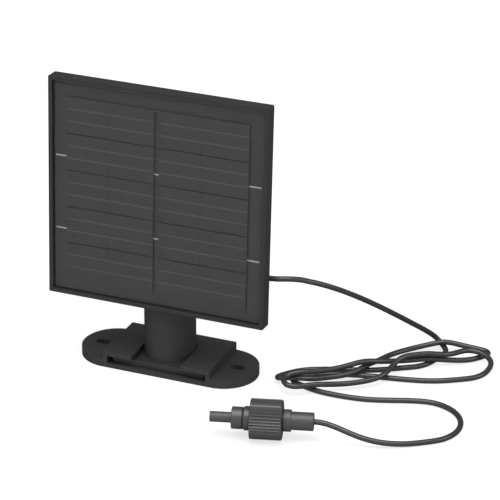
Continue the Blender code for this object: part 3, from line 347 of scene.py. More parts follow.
def plated_metal(name, value, roughness, metallic=1.0):
    """Plated metal with turning marks, faint stains and bright worn edges."""
    finish = Finish(name, roughness, metallic=metallic)
    stain = finish.noise(2.5 * MM, 4)
    body = finish.mixed(stain, grey(value * 0.82), grey(value * 1.1, 0.01))
    bright = finish.math("MULTIPLY", finish.edges(0.15 * MM), METAL_WEAR)
    finish.colour(finish.mixed(bright, body, grey(min(1.0, value * 1.8))))
    finish.roughness(finish.ranged(stain, 0.25, 0.75, roughness - 0.06, roughness + 0.08))
    finish.bump(finish.noise(0.12 * MM, 2), 0.004 * MM)
    return finish.made


def silicon(name, value, scribes):
    """A cell's face: hairline fingers along its height, a scribe line and a slight mottle."""
    finish = Finish(name, 0.45, specular=0.3)
    mottle = finish.noise(3.5 * MM, 4)
    body = finish.mixed(mottle, grey(value * 0.97, -0.01), grey(value * 1.03, 0.01))
    x = finish.axes()["X"]
    phase = finish.math("FRACT", finish.math("DIVIDE", x, FINGER_PITCH))
    off_middle = finish.math("ABSOLUTE", finish.math("SUBTRACT", phase, 0.5))
    finger = finish.math("LESS_THAN", off_middle, 0.05)
    body = finish.mixed(finish.math("MULTIPLY", finger, 0.1), body, grey(value * 1.7))
    for place in scribes:
        away = finish.math("ABSOLUTE", finish.math("SUBTRACT", x, place))
        line = finish.math("LESS_THAN", away, 0.3 * MM)
        body = finish.mixed(finish.math("MULTIPLY", line, 0.6), body, grey(value * 0.5))
    finish.colour(body)
    finish.roughness(finish.ranged(mottle, 0.3, 0.7, 0.43, 0.47))
    finish.bump(mottle, 0.001 * MM)
    return finish.made


def silver_paste(name, value):
    """Printed busbar: dull, granular silver."""
    finish = Finish(name, 0.55, metallic=0.3, specular=0.4)
    grains = finish.noise(0.18 * MM, 3)
    finish.colour(finish.mixed(grains, grey(value * 0.8), grey(value * 1.2, 0.01)))
    finish.bump(grains, 0.01 * MM)
    return finish.made


def tinned_ribbon(name):
    """Tinned copper ribbon with a wavy solder skin."""
    finish = Finish(name, 0.34, metallic=0.3)
    skin = finish.noise(0.8 * MM, 3)
    finish.colour(finish.mixed(skin, grey(0.55), grey(0.7, 0.01)))
    finish.roughness(finish.ranged(skin, 0.3, 0.7, 0.25, 0.45))
    finish.bump(skin, 0.03 * MM)
    return finish.made


def circuit_board(name, value):
    """Black glass-fibre laminate whose weave shows faintly."""
    finish = Finish(name, 0.5, specular=0.45)
    axes = finish.axes()
    warp = finish.math("SINE", finish.math("DIVIDE", axes["X"], WEAVE_PITCH / math.tau))
    weft = finish.math("SINE", finish.math("DIVIDE", axes["Z"], WEAVE_PITCH / math.tau))
    weave = finish.ranged(finish.math("MULTIPLY", warp, weft), -1.0, 1.0, 0.0, 1.0)
    tone = finish.noise(6 * MM, 3)
    body = finish.mixed(tone, grey(value * 0.9), grey(value * 1.1))
    finish.colour(finish.mixed(finish.math("MULTIPLY", weave, 0.2), body, grey(value * 1.5)))
    finish.bump(weave, 0.01 * MM)
    return finish.made


def clear_laminate(name, haze, value):
    """The front sheet: mostly clear, with a matte skin that is almost flat."""
    finish = Finish(name, 0.4, specular=0.3)
    tone = finish.noise(20 * MM, 3)
    finish.colour(finish.mixed(tone, grey(value * 0.97), grey(value * 1.03)))
    finish.roughness(finish.ranged(tone, 0.3, 0.7, 0.42, 0.5))
    finish.bump(tone, 0.001 * MM)
    clear = finish.nodes.new("ShaderNodeBsdfTransparent")
    clear.inputs["Color"].default_value = (*grey(SHEET_CLEARNESS), 1)
    finish.surface(haze, clear.outputs["BSDF"], finish.shader.outputs["BSDF"])
    return finish.made


def scribe_places():
    """Where the scribe line of each column of cells runs, along X."""
    boxes = [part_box(f"cell_{side}_1") for side in ("left", "right")]
    return [(low.x + high.x) / 2 - SCRIBE_OFFSET for low, high in boxes]


FINISHES = {
    "stand": moulded_plastic("stand_plastic_look", 0.029, 0.5),
    "frame": moulded_plastic("frame_plastic_look", 0.026, 0.46, 0.15),
    "knob": moulded_plastic("knob_plastic_look", 0.025, 0.45),
    "plug": moulded_plastic("plug_plastic_look", 0.042, 0.36, 0.7, 0.25 * MM),
    "relief": moulded_plastic("strain_relief_look", 0.045, 0.42, 0.6, 0.3 * MM),
    "rubber": rubber("black_rubber_look", 0.03),
    "sheath": cable_sheath("cable_sheath_look", 0.027),
    "steel": plated_metal("zinc_plate_look", 0.5, 0.34),
    "sleeve": plated_metal("black_nickel_look", 0.08, 0.45, metallic=0.4),
    "contact": plated_metal("contact_plate_look", 0.3, 0.3),
    "silicon": silicon("solar_silicon_look", 0.06, scribe_places()),
    "busbar": silver_paste("silver_paste_look", 0.13),
    "tinned": tinned_ribbon("tinned_ribbon_look"),
    "board": circuit_board("board_laminate_look", 0.055),
    "sheet": clear_laminate("clear_laminate_look", 0.04, 0.08),
    "insulation": cable_sheath("black_insulation_look", 0.02),
    "red": cable_sheath("red_insulation_look", 0.3, (1, 0.06, 0.05)),
}


# ---- shapes ----


def linked(name, data):
    """A new object in the scene."""
    made = bpy.data.objects.new(name, data)
    bpy.context.scene.collection.objects.link(made)
    return made


def clean(shape, reach):
    """Welds the vertices that lie within reach of each other and joins flat faces."""
    bmesh.ops.remove_doubles(shape, verts=shape.verts, dist=reach)
    bmesh.ops.dissolve_limit(shape, angle_limit=math.radians(0.5), verts=shape.verts,
                             edges=shape.edges)


def object_from(name, shape, place=None, sharp=35):
    """An object from a bmesh, smooth across all but its sharp edges."""
    bmesh.ops.recalc_face_normals(shape, faces=shape.faces)
    mesh = bpy.data.meshes.new(name)
    shape.to_mesh(mesh)
    shape.free()
    if place:
        mesh.transform(place)
    mesh.shade_smooth()
    mesh.set_sharp_from_angle(angle=math.radians(sharp))
    return linked(name, mesh)


def loft(name, rings, loop=False, place=None, sharp=35):
    """A skin over rings of equally many points, closed by caps or, as a loop, onto itself."""
    shape = bmesh.new()
    rows = [[shape.verts.new(point) for point in ring] for ring in rings]
    pairs = list(zip(rows, rows[1:]))
    if loop:
        pairs.append((rows[-1], rows[0]))
    else:
        shape.faces.new(rows[0])
        shape.faces.new(rows[-1])
    for near, far in pairs:
        count = len(near)
        for i in range(count):
            j = (i + 1) % count
            shape.faces.new((near[i], near[j], far[j], far[i]))
    return object_from(name, shape, place, sharp)


def rounded(corners, loop, sides=4):
    """Points along a line of corners (a, b, radius), each rounded by an arc."""
    points = []
    for i, (a, b, radius) in enumerate(corners):
        here = Vector((a, b))
        if radius == 0 or (not loop and i in (0, len(corners) - 1)):
            points.append(here)
            continue
        back = (Vector(corners[i - 1][:2]) - here).normalized()
        ahead = (Vector(corners[(i + 1) % len(corners)][:2]) - here).normalized()
        half = back.angle(ahead) / 2
        centre = here + (back + ahead).normalized() * radius / math.sin(half)
        start = here + back * radius / math.tan(half) - centre
        end = here + ahead * radius / math.tan(half) - centre
        sweep = start.angle(end)
        for step in range(sides + 1):
            t = step / sides
            spoke = start * math.sin((1 - t) * sweep) + end * math.sin(t * sweep)
            points.append(centre + spoke / math.sin(sweep))
    return points


def turned(name, corners, place=None, bored=False, sides=96, arc_sides=4):
    """Corners (radius, height, fillet) turned about Z; bored ones close onto themselves."""
    profile = rounded(corners, bored, arc_sides)
    angles = [math.tau * i / sides for i in range(sides)]
    rings = [[(radius * math.cos(a), radius * math.sin(a), height) for a in angles]
             for radius, height in profile]
    return loft(name, rings, bored, place)


def prism(name, outlines, low, high, along="Z", place=None):
    """Flat outlines (later ones are holes) extruded from low to high.

    Along Z the outline's pair is (x, y), along Y it is (x, z) and along X it is (y, z).
    """
    curve = bpy.data.curves.new(name, "CURVE")
    curve.dimensions = "2D"
    curve.fill_mode = "BOTH"
    curve.extrude = (high - low) / 2
    for outline in outlines:
        spline = curve.splines.new("POLY")
        spline.points.add(len(outline) - 1)
        for point, (a, b) in zip(spline.points, outline):
            point.co = (a, b, 0, 1)
        spline.use_cyclic_u = True
    holder = linked(name, curve)
    evaluated = holder.evaluated_get(bpy.context.evaluated_depsgraph_get())
    shape = bmesh.new()
    filled = bpy.data.meshes.new_from_object(evaluated)
    shape.from_mesh(filled)
    bpy.data.meshes.remove(filled)
    bpy.data.objects.remove(holder, do_unlink=True)
    clean(shape, 0.001 * MM)
    middle = (low + high) / 2
    turn = {
        "Z": Matrix.Translation((0, 0, middle)),
        "Y": Matrix.Translation((0, middle, 0)) @ Matrix.Rotation(math.radians(90), 4, "X"),
        "X": Matrix.Translation((middle, 0, 0)) @ Matrix(
            ((0, 0, 1, 0), (1, 0, 0, 0), (0, 1, 0, 0), (0, 0, 0, 1))),
    }[along]
    return object_from(name, shape, (place or Matrix.Identity(4)) @ turn)


def rectangle(low, high):
    """The corners of a rectangle, as an outline for prism."""
    return [(low[0], low[1]), (high[0], low[1]), (high[0], high[1]), (low[0], high[1])]


def rod(name, centre, length, radius, sides=64):
    """A plain cylinder along X, used to cut or to join."""
    place = Matrix.Translation((centre.x - length / 2, centre.y, centre.z)) @ LATHE_ALONG_X
    return turned(name, [(radius, 0, 0), (radius, length, 0)], place, sides=sides)


def arc(centre, radius, start, end, sides):
    """Points on an arc, both ends included; angles in degrees, counterclockwise."""
    steps = [math.radians(start + (end - start) * i / sides) for i in range(sides + 1)]
    return [(centre[0] + radius * math.cos(a), centre[1] + radius * math.sin(a)) for a in steps]


def circle(centre, radius, sides=48):
    return arc(centre, radius, 0, 360, sides)[:-1]


def rounded_rectangle(low, high, radius, sides=6):
    """A rectangle's outline whose corners have a radius."""
    corners = [(high[0], high[1], radius), (low[0], high[1], radius), (low[0], low[1], radius),
               (high[0], low[1], radius)]
    return [tuple(point) for point in rounded(corners, True, sides)]


def stadium(centre, length, width, sides):
    """A slot shape with its long side along the first axis."""
    reach = (length - width) / 2
    right = arc((centre[0] + reach, centre[1]), width / 2, -90, 90, sides)
    return right + arc((centre[0] - reach, centre[1]), width / 2, 90, 270, sides)


def bake(made):
    """Applies the object's modifiers to its mesh."""
    evaluated = made.evaluated_get(bpy.context.evaluated_depsgraph_get())
    mesh = bpy.data.meshes.new_from_object(evaluated)
    made.modifiers.clear()
    old = made.data
    made.data = mesh
    bpy.data.meshes.remove(old)
    mesh.name = made.name


def combine(target, tool, operation):
    """Cuts tool from target, or joins it on, and removes the tool."""
    boolean = target.modifiers.new("Boolean", "BOOLEAN")
    boolean.operation = operation
    boolean.solver = "EXACT"
    boolean.object = tool
    bake(target)
    bpy.data.objects.remove(tool, do_unlink=True)


def bevelled(made, width, segments, angle=35):
    """Adds a bevel of the edges sharper than an angle, and returns the modifier."""
    bevel = made.modifiers.new("Edges", "BEVEL")
    bevel.width = width
    bevel.segments = segments
    bevel.limit_method = "ANGLE"
    bevel.angle_limit = math.radians(angle)
    bevel.harden_normals = True
    return bevel


def eased(made, width, segments=3, angle=35):
    """Rounds the shape's edges and keeps its faces flat in shading."""
    shape = bmesh.new()
    shape.from_mesh(made.data)
    clean(shape, 0.002 * MM)
    shape.to_mesh(made.data)
    shape.free()
    made.data.shade_smooth()
    bevelled(made, width, segments, angle).miter_outer = "MITER_ARC"
    bake(made)


def dress(made, finish, body, slot, *nodes):
    """Gives a finished piece its material and its body, and hides the CAD nodes it stands for."""
    made.data.materials.clear()
    made.data.materials.append(FINISHES[finish])
    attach(made, body)
    if nodes:
        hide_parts(*nodes)


def local_box(node, place):
    """Lowest and highest corner of a CAD node in another frame than the row's."""
    inverse = place.inverted()
    points = np.array([inverse @ vertex.co for vertex in frame["nodes"][node].data.vertices])
    return Vector(points.min(0)), Vector(points.max(0))


# ---- CAD nodes that stay ----


def weld_and_smooth_group():
    """Geometry nodes that weld a facetted shape and smooth all but its sharp edges."""
    group = bpy.data.node_groups.new("weld_and_smooth", "GeometryNodeTree")
    group.interface.new_socket("Geometry", in_out="INPUT", socket_type="NodeSocketGeometry")
    group.interface.new_socket("Geometry", in_out="OUTPUT", socket_type="NodeSocketGeometry")
    nodes, links = group.nodes, group.links
    start = nodes.new("NodeGroupInput")
    end = nodes.new("NodeGroupOutput")
    plain = nodes.new("GeometryNodeRemoveAttribute")
    plain.inputs["Name"].default_value = "custom_normal"
    weld = nodes.new("GeometryNodeMergeByDistance")
    weld.inputs["Distance"].default_value = 0.002 * MM
    smooth = nodes.new("GeometryNodeSetShadeSmooth")
    links.new(start.outputs["Geometry"], plain.inputs["Geometry"])
    links.new(plain.outputs["Geometry"], weld.inputs["Geometry"])
    links.new(weld.outputs["Geometry"], smooth.inputs["Geometry"])
    crease = nodes.new("GeometryNodeSetShadeSmooth")
    crease.domain = "EDGE"
    crease.inputs["Shade Smooth"].default_value = False
    angle = nodes.new("GeometryNodeInputMeshEdgeAngle")
    sharp = nodes.new("FunctionNodeCompare")
    sharp.operation = "GREATER_THAN"
    sharp.inputs["B"].default_value = math.radians(35)
    links.new(angle.outputs["Unsigned Angle"], sharp.inputs["A"])
    links.new(sharp.outputs["Result"], crease.inputs["Selection"])
    links.new(smooth.outputs["Geometry"], crease.inputs["Geometry"])
    links.new(crease.outputs["Geometry"], end.inputs["Geometry"])
    return group


SMOOTHING = weld_and_smooth_group()


def keep(node, finish, edge=0.0, segments=2):
    """Leaves a CAD node in place with a finish and, where it asks for them, eased edges."""
    kept = frame["nodes"][node]
    kept.data.materials.clear()
    kept.data.materials.append(FINISHES[finish])
    smoothing = kept.modifiers.new("Weld and smooth", "NODES")
    smoothing.node_group = SMOOTHING
    if edge:
        bevelled(kept, edge, segments)


def keep_cad_nodes():
    keep("panel_frame", "frame", 0.22 * MM, 3)
    keep("back_cover", "frame", 0.2 * MM)
    keep("backing_board", "board")
    keep("front_sheet", "sheet", 0.4 * MM, 1)
    keep("junction_box", "frame", 0.25 * MM, 3)
    keep("junction_box_lid", "frame", 0.35 * MM, 3)
    keep("bus_ribbon_lower", "tinned")
    keep("bus_ribbon_upper", "tinned")
    keep("blocking_diode", "insulation", 0.1 * MM)
    keep("positive_wire", "red")
    keep("negative_wire", "insulation")
    keep("tilt_washer", "steel", 0.12 * MM)
    keep("swivel_washer", "steel", 0.12 * MM)
    keep("swivel_screw", "steel", 0.12 * MM)
    keep("plug_insulator", "insulation", 0.05 * MM)
    keep("plug_contact", "contact", 0.04 * MM)


# ---- stand ----


def make_foot():
    """Stadium plate with the bridge over the slide plate and two screw slots."""
    low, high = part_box("foot_plate")
    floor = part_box("post")[0].z - GAP
    centre = ((low.x + high.x) / 2, (low.y + high.y) / 2)
    outline = stadium(centre, high.x - low.x, high.y - low.y, 64)
    holes = [stadium((side * SCREW_SLOT_X, centre[1]), SCREW_SLOT_LENGTH, SCREW_SLOT_WIDTH, 20)
             for side in (-1, 1)]
    foot = prism("foot", [outline, *holes], low.z, FOOT_THICKNESS)
    notch = [(NOTCH_HALF_WIDTH, low.y)] + arc((0, 0), NOTCH_HALF_WIDTH, 0, 180, 64)
    notch.append((-NOTCH_HALF_WIDTH, low.y))
    bridge = [(-BRIDGE_HALF_WIDTH, low.y), (-BRIDGE_HALF_WIDTH, high.y),
              (BRIDGE_HALF_WIDTH, high.y), (BRIDGE_HALF_WIDTH, low.y)]
    combine(foot, prism("bridge", [bridge + notch], floor, high.z), "UNION")
    slot = rectangle((-SLOT_HALF_WIDTH, low.y - MM), (SLOT_HALF_WIDTH, high.y - SLOT_BACK_WALL))
    combine(foot, prism("slot", [slot], floor, SLOT_ROOF), "DIFFERENCE")
    eased(foot, 0.45 * MM)
    dress(foot, "stand", "base", "stand_plastic", "foot_plate")


def make_post():
    """Hollow post with its slide plate."""
    low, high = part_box("post")
    bore = POST_RADIUS - POST_WALL
    hole = SPIGOT_RADIUS + GAP
    ceiling = high.z - POST_ROOF
    corners = [(hole, high.z, 0.3 * MM), (POST_RADIUS, high.z, 0.8 * MM), (POST_RADIUS, low.z, 0),
               (bore, low.z, 0.3 * MM), (bore, ceiling, MM), (hole, ceiling, 0)]
    post = turned("slide_post", corners, bored=True, sides=128)
    outline = rounded_rectangle((low.x, low.y), (high.x, high.y), 1.5 * MM)
    plate = prism("slide_plate", [outline, circle((0, 0), bore + 0.5 * MM, 128)], low.z, SLIDE_TOP)
    combine(post, plate, "UNION")
    eased(post, 0.2 * MM, 2, 50)
    dress(post, "stand", "post", "stand_plastic", "post")


def make_head():
    """Swivel flange, neck and the knuckle of the hinge."""
    low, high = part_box("swivel_head")
    flange_radius = high.x
    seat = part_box("post")[1].z + GAP
    top = seat + FLANGE_THICKNESS
    corners = [(flange_radius * 0.3, top, 0), (flange_radius, top, 1.1 * MM),
               (flange_radius, seat, 0.3 * MM), (SPIGOT_RADIUS, seat, 0),
               (SPIGOT_RADIUS, low.z, 0.3 * MM), (SPIGOT_RADIUS * 0.3, low.z, 0)]
    head = turned("head", corners)
    corner = Vector((NECK_WIDTH, NECK_DEPTH)) / 2
    outline = rounded_rectangle(-corner, corner, 1.8 * MM, 8)
    combine(head, prism("neck", [outline], top - MM, HINGE.z), "UNION")
    axis = Vector((0, 0, HINGE.z))
    combine(head, rod("knuckle", axis, NECK_WIDTH, KNUCKLE_RADIUS, 96), "UNION")
    combine(head, rod("bore", axis, 2 * NECK_WIDTH, BOLT_RADIUS + BOLT_PLAY), "DIFFERENCE")
    pilot = turned("pilot", [(SWIVEL_PILOT_RADIUS, low.z - MM, 0),
                             (SWIVEL_PILOT_RADIUS, top + SWIVEL_PILOT_DEPTH, 0)], sides=48)
    combine(head, pilot, "DIFFERENCE")
    eased(head, 0.5 * MM, 3, 50)
    dress(head, "stand", "head", "stand_plastic", "swivel_head")


def make_bracket():
    """Plate screwed to the panel's back, with two ears round the knuckle."""
    low, high = local_box("panel_bracket", PANEL)
    back = low.y + BRACKET_THICKNESS
    outline = rounded_rectangle((low.x, low.z), (high.x, high.z), 2 * MM)
    bracket = prism("bracket", [outline], low.y, back, "Y", PANEL)
    root = KNUCKLE_RADIUS + 2 * MM
    ear = arc((0, 0), KNUCKLE_RADIUS, -90, 90, 32)
    ear += [(low.y + MM, root), (low.y + MM, -root)]
    hole = circle((0, 0), BOLT_RADIUS + GAP)
    for name, start in (("left_ear", low.x), ("right_ear", high.x - EAR_THICKNESS)):
        piece = prism(name, [ear, hole], start, start + EAR_THICKNESS, "X", PANEL)
        combine(bracket, piece, "UNION")
    eased(bracket, 0.4 * MM, 3, 40)
    dress(bracket, "stand", "panel", "stand_plastic", "panel_bracket")


def knob_outline(inset):
    """The knob's outline, moved in by inset: its radius swings between lobes and valleys."""
    points = []
    for angle in (math.tau * i / KNOB_SIDES for i in range(KNOB_SIDES)):
        reach = KNOB_RADIUS + KNOB_LOBE_DEPTH * math.cos(KNOB_LOBES * angle) - inset
        points.append((reach * math.cos(angle), reach * math.sin(angle)))
    return points


def end_rings(outline, low, high, fillet, high_fillet=None, sides=5):
    """Rings along X of an outline that draws in round both of its ends.

    The outline is a function of how far it is moved in. The high end may have its own fillet.
    """
    rings = []
    for end, side, reach in ((low, -1, fillet), (high, 1, high_fillet or fillet)):
        for step in range(sides + 1):
            turn = math.radians(90 * step / sides)
            x = end - side * reach * (1 - math.sin(turn))
            rings.append([(x, y, z) for y, z in outline(reach * (1 - math.cos(turn)))])
        if side < 0:
            rings.reverse()
    return rings


def make_knob():
    """Hand knob with lobes, rounded at both ends, bored for the bolt and countersunk."""
    low, high = local_box("tilt_knob", PANEL)
    countersink = 0.6 * MM
    rings = end_rings(knob_outline, low.x, high.x, 1.1 * MM)
    bore = circle((0, 0), BOLT_RADIUS + BOLT_PLAY, KNOB_SIDES)
    lip = circle((0, 0), KNOB_LIP_RADIUS, KNOB_SIDES)
    rings.append([(high.x, y, z) for y, z in lip])
    rings.append([(high.x - countersink, y, z) for y, z in bore])
    rings.append([(low.x, y, z) for y, z in bore])
    knob = loft("knob", rings, True, PANEL)
    dress(knob, "knob", "knob", "knob_plastic", "tilt_knob")


def make_bolt():
    """Hex bolt through the hinge, with the corners of its head turned off."""
    low, high = local_box("tilt_bolt", PANEL)
    head_end = low.x + BOLT_HEAD_HEIGHT
    hexagon = circle((0, 0), BOLT_HEAD_RADIUS, 6)
    bolt = prism("bolt", [hexagon], low.x, head_end, "X", PANEL)
    # The dome trims the corners of the head's outer face.
    face = BOLT_HEAD_RADIUS * 0.8
    outside = BOLT_HEAD_RADIUS * 1.06
    dome = turned("dome", [(face, low.x - 0.01 * MM, 0), (outside, low.x + 0.9 * MM, 0),
                           (outside, head_end + MM, 0)], PANEL @ LATHE_ALONG_X, sides=96)
    combine(bolt, dome, "INTERSECT")
    shank = turned("shank", [(BOLT_RADIUS, head_end - MM, 0), (BOLT_RADIUS, high.x, 0.35 * MM),
                             (BOLT_RADIUS * 0.4, high.x, 0)], PANEL @ LATHE_ALONG_X, sides=64)
    combine(bolt, shank, "UNION")
    eased(bolt, 0.12 * MM, 2, 40)
    dress(bolt, "steel", "panel", "fastener_steel", "tilt_bolt")


def make_screws(name, count):
    """Pan-head screws with a cross recess, one for each CAD screw of that name."""
    head, shank = SCREW_SIZES[name]
    upright = Matrix.Rotation(math.radians(-90), 4, "X")
    for number in range(1, count + 1):
        node = f"{name}_{number}"
        low, high = local_box(node, PANEL)
        radius = (high.x - low.x) / 2
        length = high.y - low.y - head
        corners = [(radius * 0.3, head, 0), (radius * 0.72, head, 0.5 * head),
                   (radius, head * 0.35, 0.15 * head), (radius, 0, 0), (shank, 0, 0),
                   (shank, -length, 0.2 * MM), (shank * 0.3, -length, 0)]
        centre = ((low.x + high.x) / 2, high.y - head, (low.z + high.z) / 2)
        spin = Matrix.Rotation(SCREW_SPIN * number, 4, "Z")
        place = PANEL @ Matrix.Translation(centre) @ upright @ spin
        screw = turned(node.replace("screw", "fastener"), corners, place, sides=40)
        reach = radius * 0.55
        width = radius * 0.13
        arm = [(reach, -width), (reach, width), (width, width)]
        cross = []
        for _ in range(4):
            cross += arm
            arm = [(-b, a) for a, b in arm]
        combine(screw, prism("recess", [cross], head * 0.35, head * 1.5, place=place), "DIFFERENCE")
        screw.data.shade_smooth()
        screw.data.set_sharp_from_angle(angle=math.radians(35))
        dress(screw, "steel", "panel", "fastener_steel", node)


# ---- laminate ----


def make_cells():
    """Each cell: a thin wafer with two printed busbars on its face."""
    for side in ("left", "right"):
        for row in range(1, 6):
            node = f"cell_{side}_{row}"
            low, high = local_box(node, PANEL)
            face = low.y + WAFER_SETBACK
            outline = rectangle((low.x, low.z), (high.x, high.z))
            cell = prism(f"wafer_{side}_{row}", [outline], face, high.y, "Y", PANEL)
            eased(cell, 0.04 * MM, 1)
            dress(cell, "silicon", "panel", "solar_silicon", node)
            middle = (low.z + high.z) / 2
            for level, offset in (("lower", -BUSBAR_OFFSET), ("upper", BUSBAR_OFFSET)):
                strip = rounded_rectangle(
                    (low.x + BUSBAR_MARGIN, middle + offset - BUSBAR_WIDTH / 2),
                    (high.x - BUSBAR_MARGIN, middle + offset + BUSBAR_WIDTH / 2), 0.2 * MM, 3)
                bar = prism(f"busbar_{side}_{row}_{level}", [strip], face - 0.05 * MM,
                            face - 0.005 * MM, "Y", PANEL)
                dress(bar, "busbar", "panel", "tinned_ribbon")


def make_link_tab():
    """Solder tab that links the two columns at their top."""
    left = local_box("cell_left_5", PANEL)[1]
    right = local_box("cell_right_5", PANEL)[0]
    ribbon_low, ribbon_high = local_box("bus_ribbon_upper", PANEL)
    overlap = 1.5 * MM
    outline = rounded_rectangle((left.x - overlap, left.z - LINK_TAB_DROP - LINK_TAB_WIDTH),
                                (right.x + overlap, left.z - LINK_TAB_DROP), 0.2 * MM, 3)
    tab = prism("link_tab", [outline], ribbon_low.y, ribbon_high.y, "Y", PANEL)
    dress(tab, "busbar", "panel", "tinned_ribbon")


# ---- gland and plug ----


def make_gland():
    """Grommet on the junction box, with soft ribs down its tail."""
    low, high = local_box("cable_gland", PANEL)
    outside = local_box("junction_box", PANEL)[1].x + GAP
    flange = (high.z - low.z) / 2
    bore = CABLE_RADIUS + GAP
    inside = low.x + GLAND_FLANGE_THICKNESS
    collar_end = outside + GLAND_COLLAR_THICKNESS
    corners = [(bore, low.x, 0), (GLAND_FLANGE_RADIUS, low.x, 0.2 * MM),
               (GLAND_FLANGE_RADIUS, inside, 0.2 * MM), (GLAND_NECK_RADIUS, inside, 0),
               (GLAND_NECK_RADIUS, outside, 0), (flange, outside, 0.2 * MM),
               (flange, collar_end, 0.3 * MM)]
    start = collar_end + 0.2 * MM
    pitch = (high.x - start) / GLAND_RIBS
    for rib in range(GLAND_RIBS):
        x = start + rib * pitch
        radius = GLAND_RIB_RADIUS - GLAND_TAPER * rib / GLAND_RIBS
        valley = radius - 0.5 * MM
        corners += [(valley, x, 0.1 * MM), (valley, x + 0.35 * pitch, 0.1 * MM),
                    (radius, x + 0.4 * pitch, 0.15 * MM), (radius, x + pitch * 0.97, 0.15 * MM)]
    corners.append((bore, high.x, 0))
    centre = Vector((0, (low.y + high.y) / 2, (low.z + high.z) / 2))
    place = PANEL @ Matrix.Translation(centre) @ LATHE_ALONG_X
    gland = turned("gland", corners, place, True, 64, 3)
    dress(gland, "rubber", "panel", "black_rubber", "cable_gland")


def nut_outline(inset, sides_per_rib=10, sides_per_lobe=16):
    """Cross-section of the lock nut, moved in by inset: three ribbed arcs between plain lobes."""
    lobe = math.tau / 3 - NUT_RIBBED_ARC
    count = NUT_RIBS * sides_per_rib
    points = []

    def add(angle, rise):
        """A point between the valleys, at rise 0, and the ribs' tops, at rise 1."""
        reach = NUT_RADIUS - NUT_RIB_HEIGHT * (1 - rise) - inset
        points.append((reach * math.cos(angle), reach * math.sin(angle)))

    for sector in range(3):
        start = NUT_FIRST_RIB + math.tau * sector / 3
        for step in range(count):
            share = (step / sides_per_rib) % 1
            add(start + NUT_RIBBED_ARC * step / count, 0.5 - 0.5 * math.cos(math.tau * share))
        for step in range(sides_per_lobe):
            share = step / sides_per_lobe
            add(start + NUT_RIBBED_ARC + lobe * share, min(1.0, 8 * share, 8 * (1 - share)))
    return points


def make_lock_nut():
    """Ribbed nut, drawn in at both ends, with its deeper bore in front."""
    low, high = local_box("lock_nut", PLUG)
    step_x = high.x - NUT_BACK_WALL
    chamfer = 0.3 * MM
    rings = end_rings(nut_outline, low.x, high.x, 0.25 * MM, 0.9 * MM)

    def bore(x, bore_radius):
        angles = [math.atan2(z, y) for _, y, z in rings[0]]
        return [(x, bore_radius * math.cos(a), bore_radius * math.sin(a)) for a in angles]

    rings += [bore(high.x, NUT_REAR_BORE + chamfer), bore(high.x - chamfer, NUT_REAR_BORE),
              bore(step_x, NUT_REAR_BORE), bore(step_x, NUT_FRONT_BORE),
              bore(low.x + chamfer, NUT_FRONT_BORE), bore(low.x, NUT_FRONT_BORE + chamfer)]
    nut = loft("nut", rings, True, PLUG, 40)
    dress(nut, "plug", "nut", "plug_plastic", "lock_nut")


def make_barrel():
    """Barrel with the sleeve's socket in front, then a groove, a collar and a core."""
    low, high = local_box("plug_barrel", PLUG)
    tip, inner = local_box("plug_sleeve", PLUG)
    socket = (inner.z - tip.z) / 2 + GAP
    floor = low.x + SOCKET_DEPTH
    collar_back = local_box("lock_nut", PLUG)[0].x - GAP
    collar_front = collar_back - COLLAR_LENGTH
    groove_front = collar_front - GROOVE_WIDTH
    corners = [(socket * 0.3, floor, 0), (socket, floor, 0), (socket, low.x, 0.2 * MM),
               (BARREL_RADIUS, low.x, 0.45 * MM), (BARREL_RADIUS, groove_front, 0.15 * MM),
               (GROOVE_RADIUS, groove_front, 0), (GROOVE_RADIUS, collar_front, 0),
               (COLLAR_RADIUS, collar_front, 0.25 * MM), (COLLAR_RADIUS, collar_back, 0.2 * MM),
               (CORE_RADIUS, collar_back, 0), (CORE_RADIUS, high.x, 0.2 * MM),
               (CORE_RADIUS * 0.3, high.x, 0)]
    dress(turned("barrel", corners, PLUG_LATHE), "plug", "base", "plug_plastic", "plug_barrel")


def make_seal():
    """O-ring in the barrel's groove."""
    low, high = local_box("plug_o_ring", PLUG)
    thick = (high.x - low.x) / 2
    middle = (low.x + high.x) / 2
    loop = [(SEAL_RADIUS + thick * math.sin(a), middle + thick * math.cos(a), 0)
            for a in (math.tau * i / 16 for i in range(16))]
    seal = turned("seal", loop, PLUG_LATHE, True)
    dress(seal, "rubber", "base", "black_rubber", "plug_o_ring")


def make_sleeve():
    """Metal sleeve at the plug's tip."""
    tip, inner = local_box("plug_sleeve", PLUG)
    outer = (inner.z - tip.z) / 2
    bore = outer - SLEEVE_WALL
    corners = [(bore, inner.x, 0), (bore, tip.x, 0.15 * MM), (outer, tip.x, 0.25 * MM),
               (outer, inner.x, 0)]
    sleeve = turned("sleeve", corners, PLUG_LATHE, True, 80)
    dress(sleeve, "sleeve", "base", "nickel_plate", "plug_sleeve")


def make_relief():
    """Strain relief with its collar in front and a bore for the cable behind."""
    front, back = local_box("strain_relief", PLUG)
    step = front.x + RELIEF_COLLAR_LENGTH
    bore = CABLE_RADIUS + GAP
    bore_end = front.x + RELIEF_BORE_START
    corners = [(bore * 0.3, bore_end, 0), (bore, bore_end, 0), (bore, back.x, 0.2 * MM),
               (RELIEF_RADIUS, back.x, 0.4 * MM), (RELIEF_RADIUS, step, 0.15 * MM),
               (RELIEF_COLLAR_RADIUS, step, 0.2 * MM), (RELIEF_COLLAR_RADIUS, front.x, 0.2 * MM),
               (RELIEF_COLLAR_RADIUS * 0.2, front.x, 0)]
    relief = turned("relief", corners, PLUG_LATHE)
    dress(relief, "relief", "base", "plug_plastic", "strain_relief")


# ---- cable ----


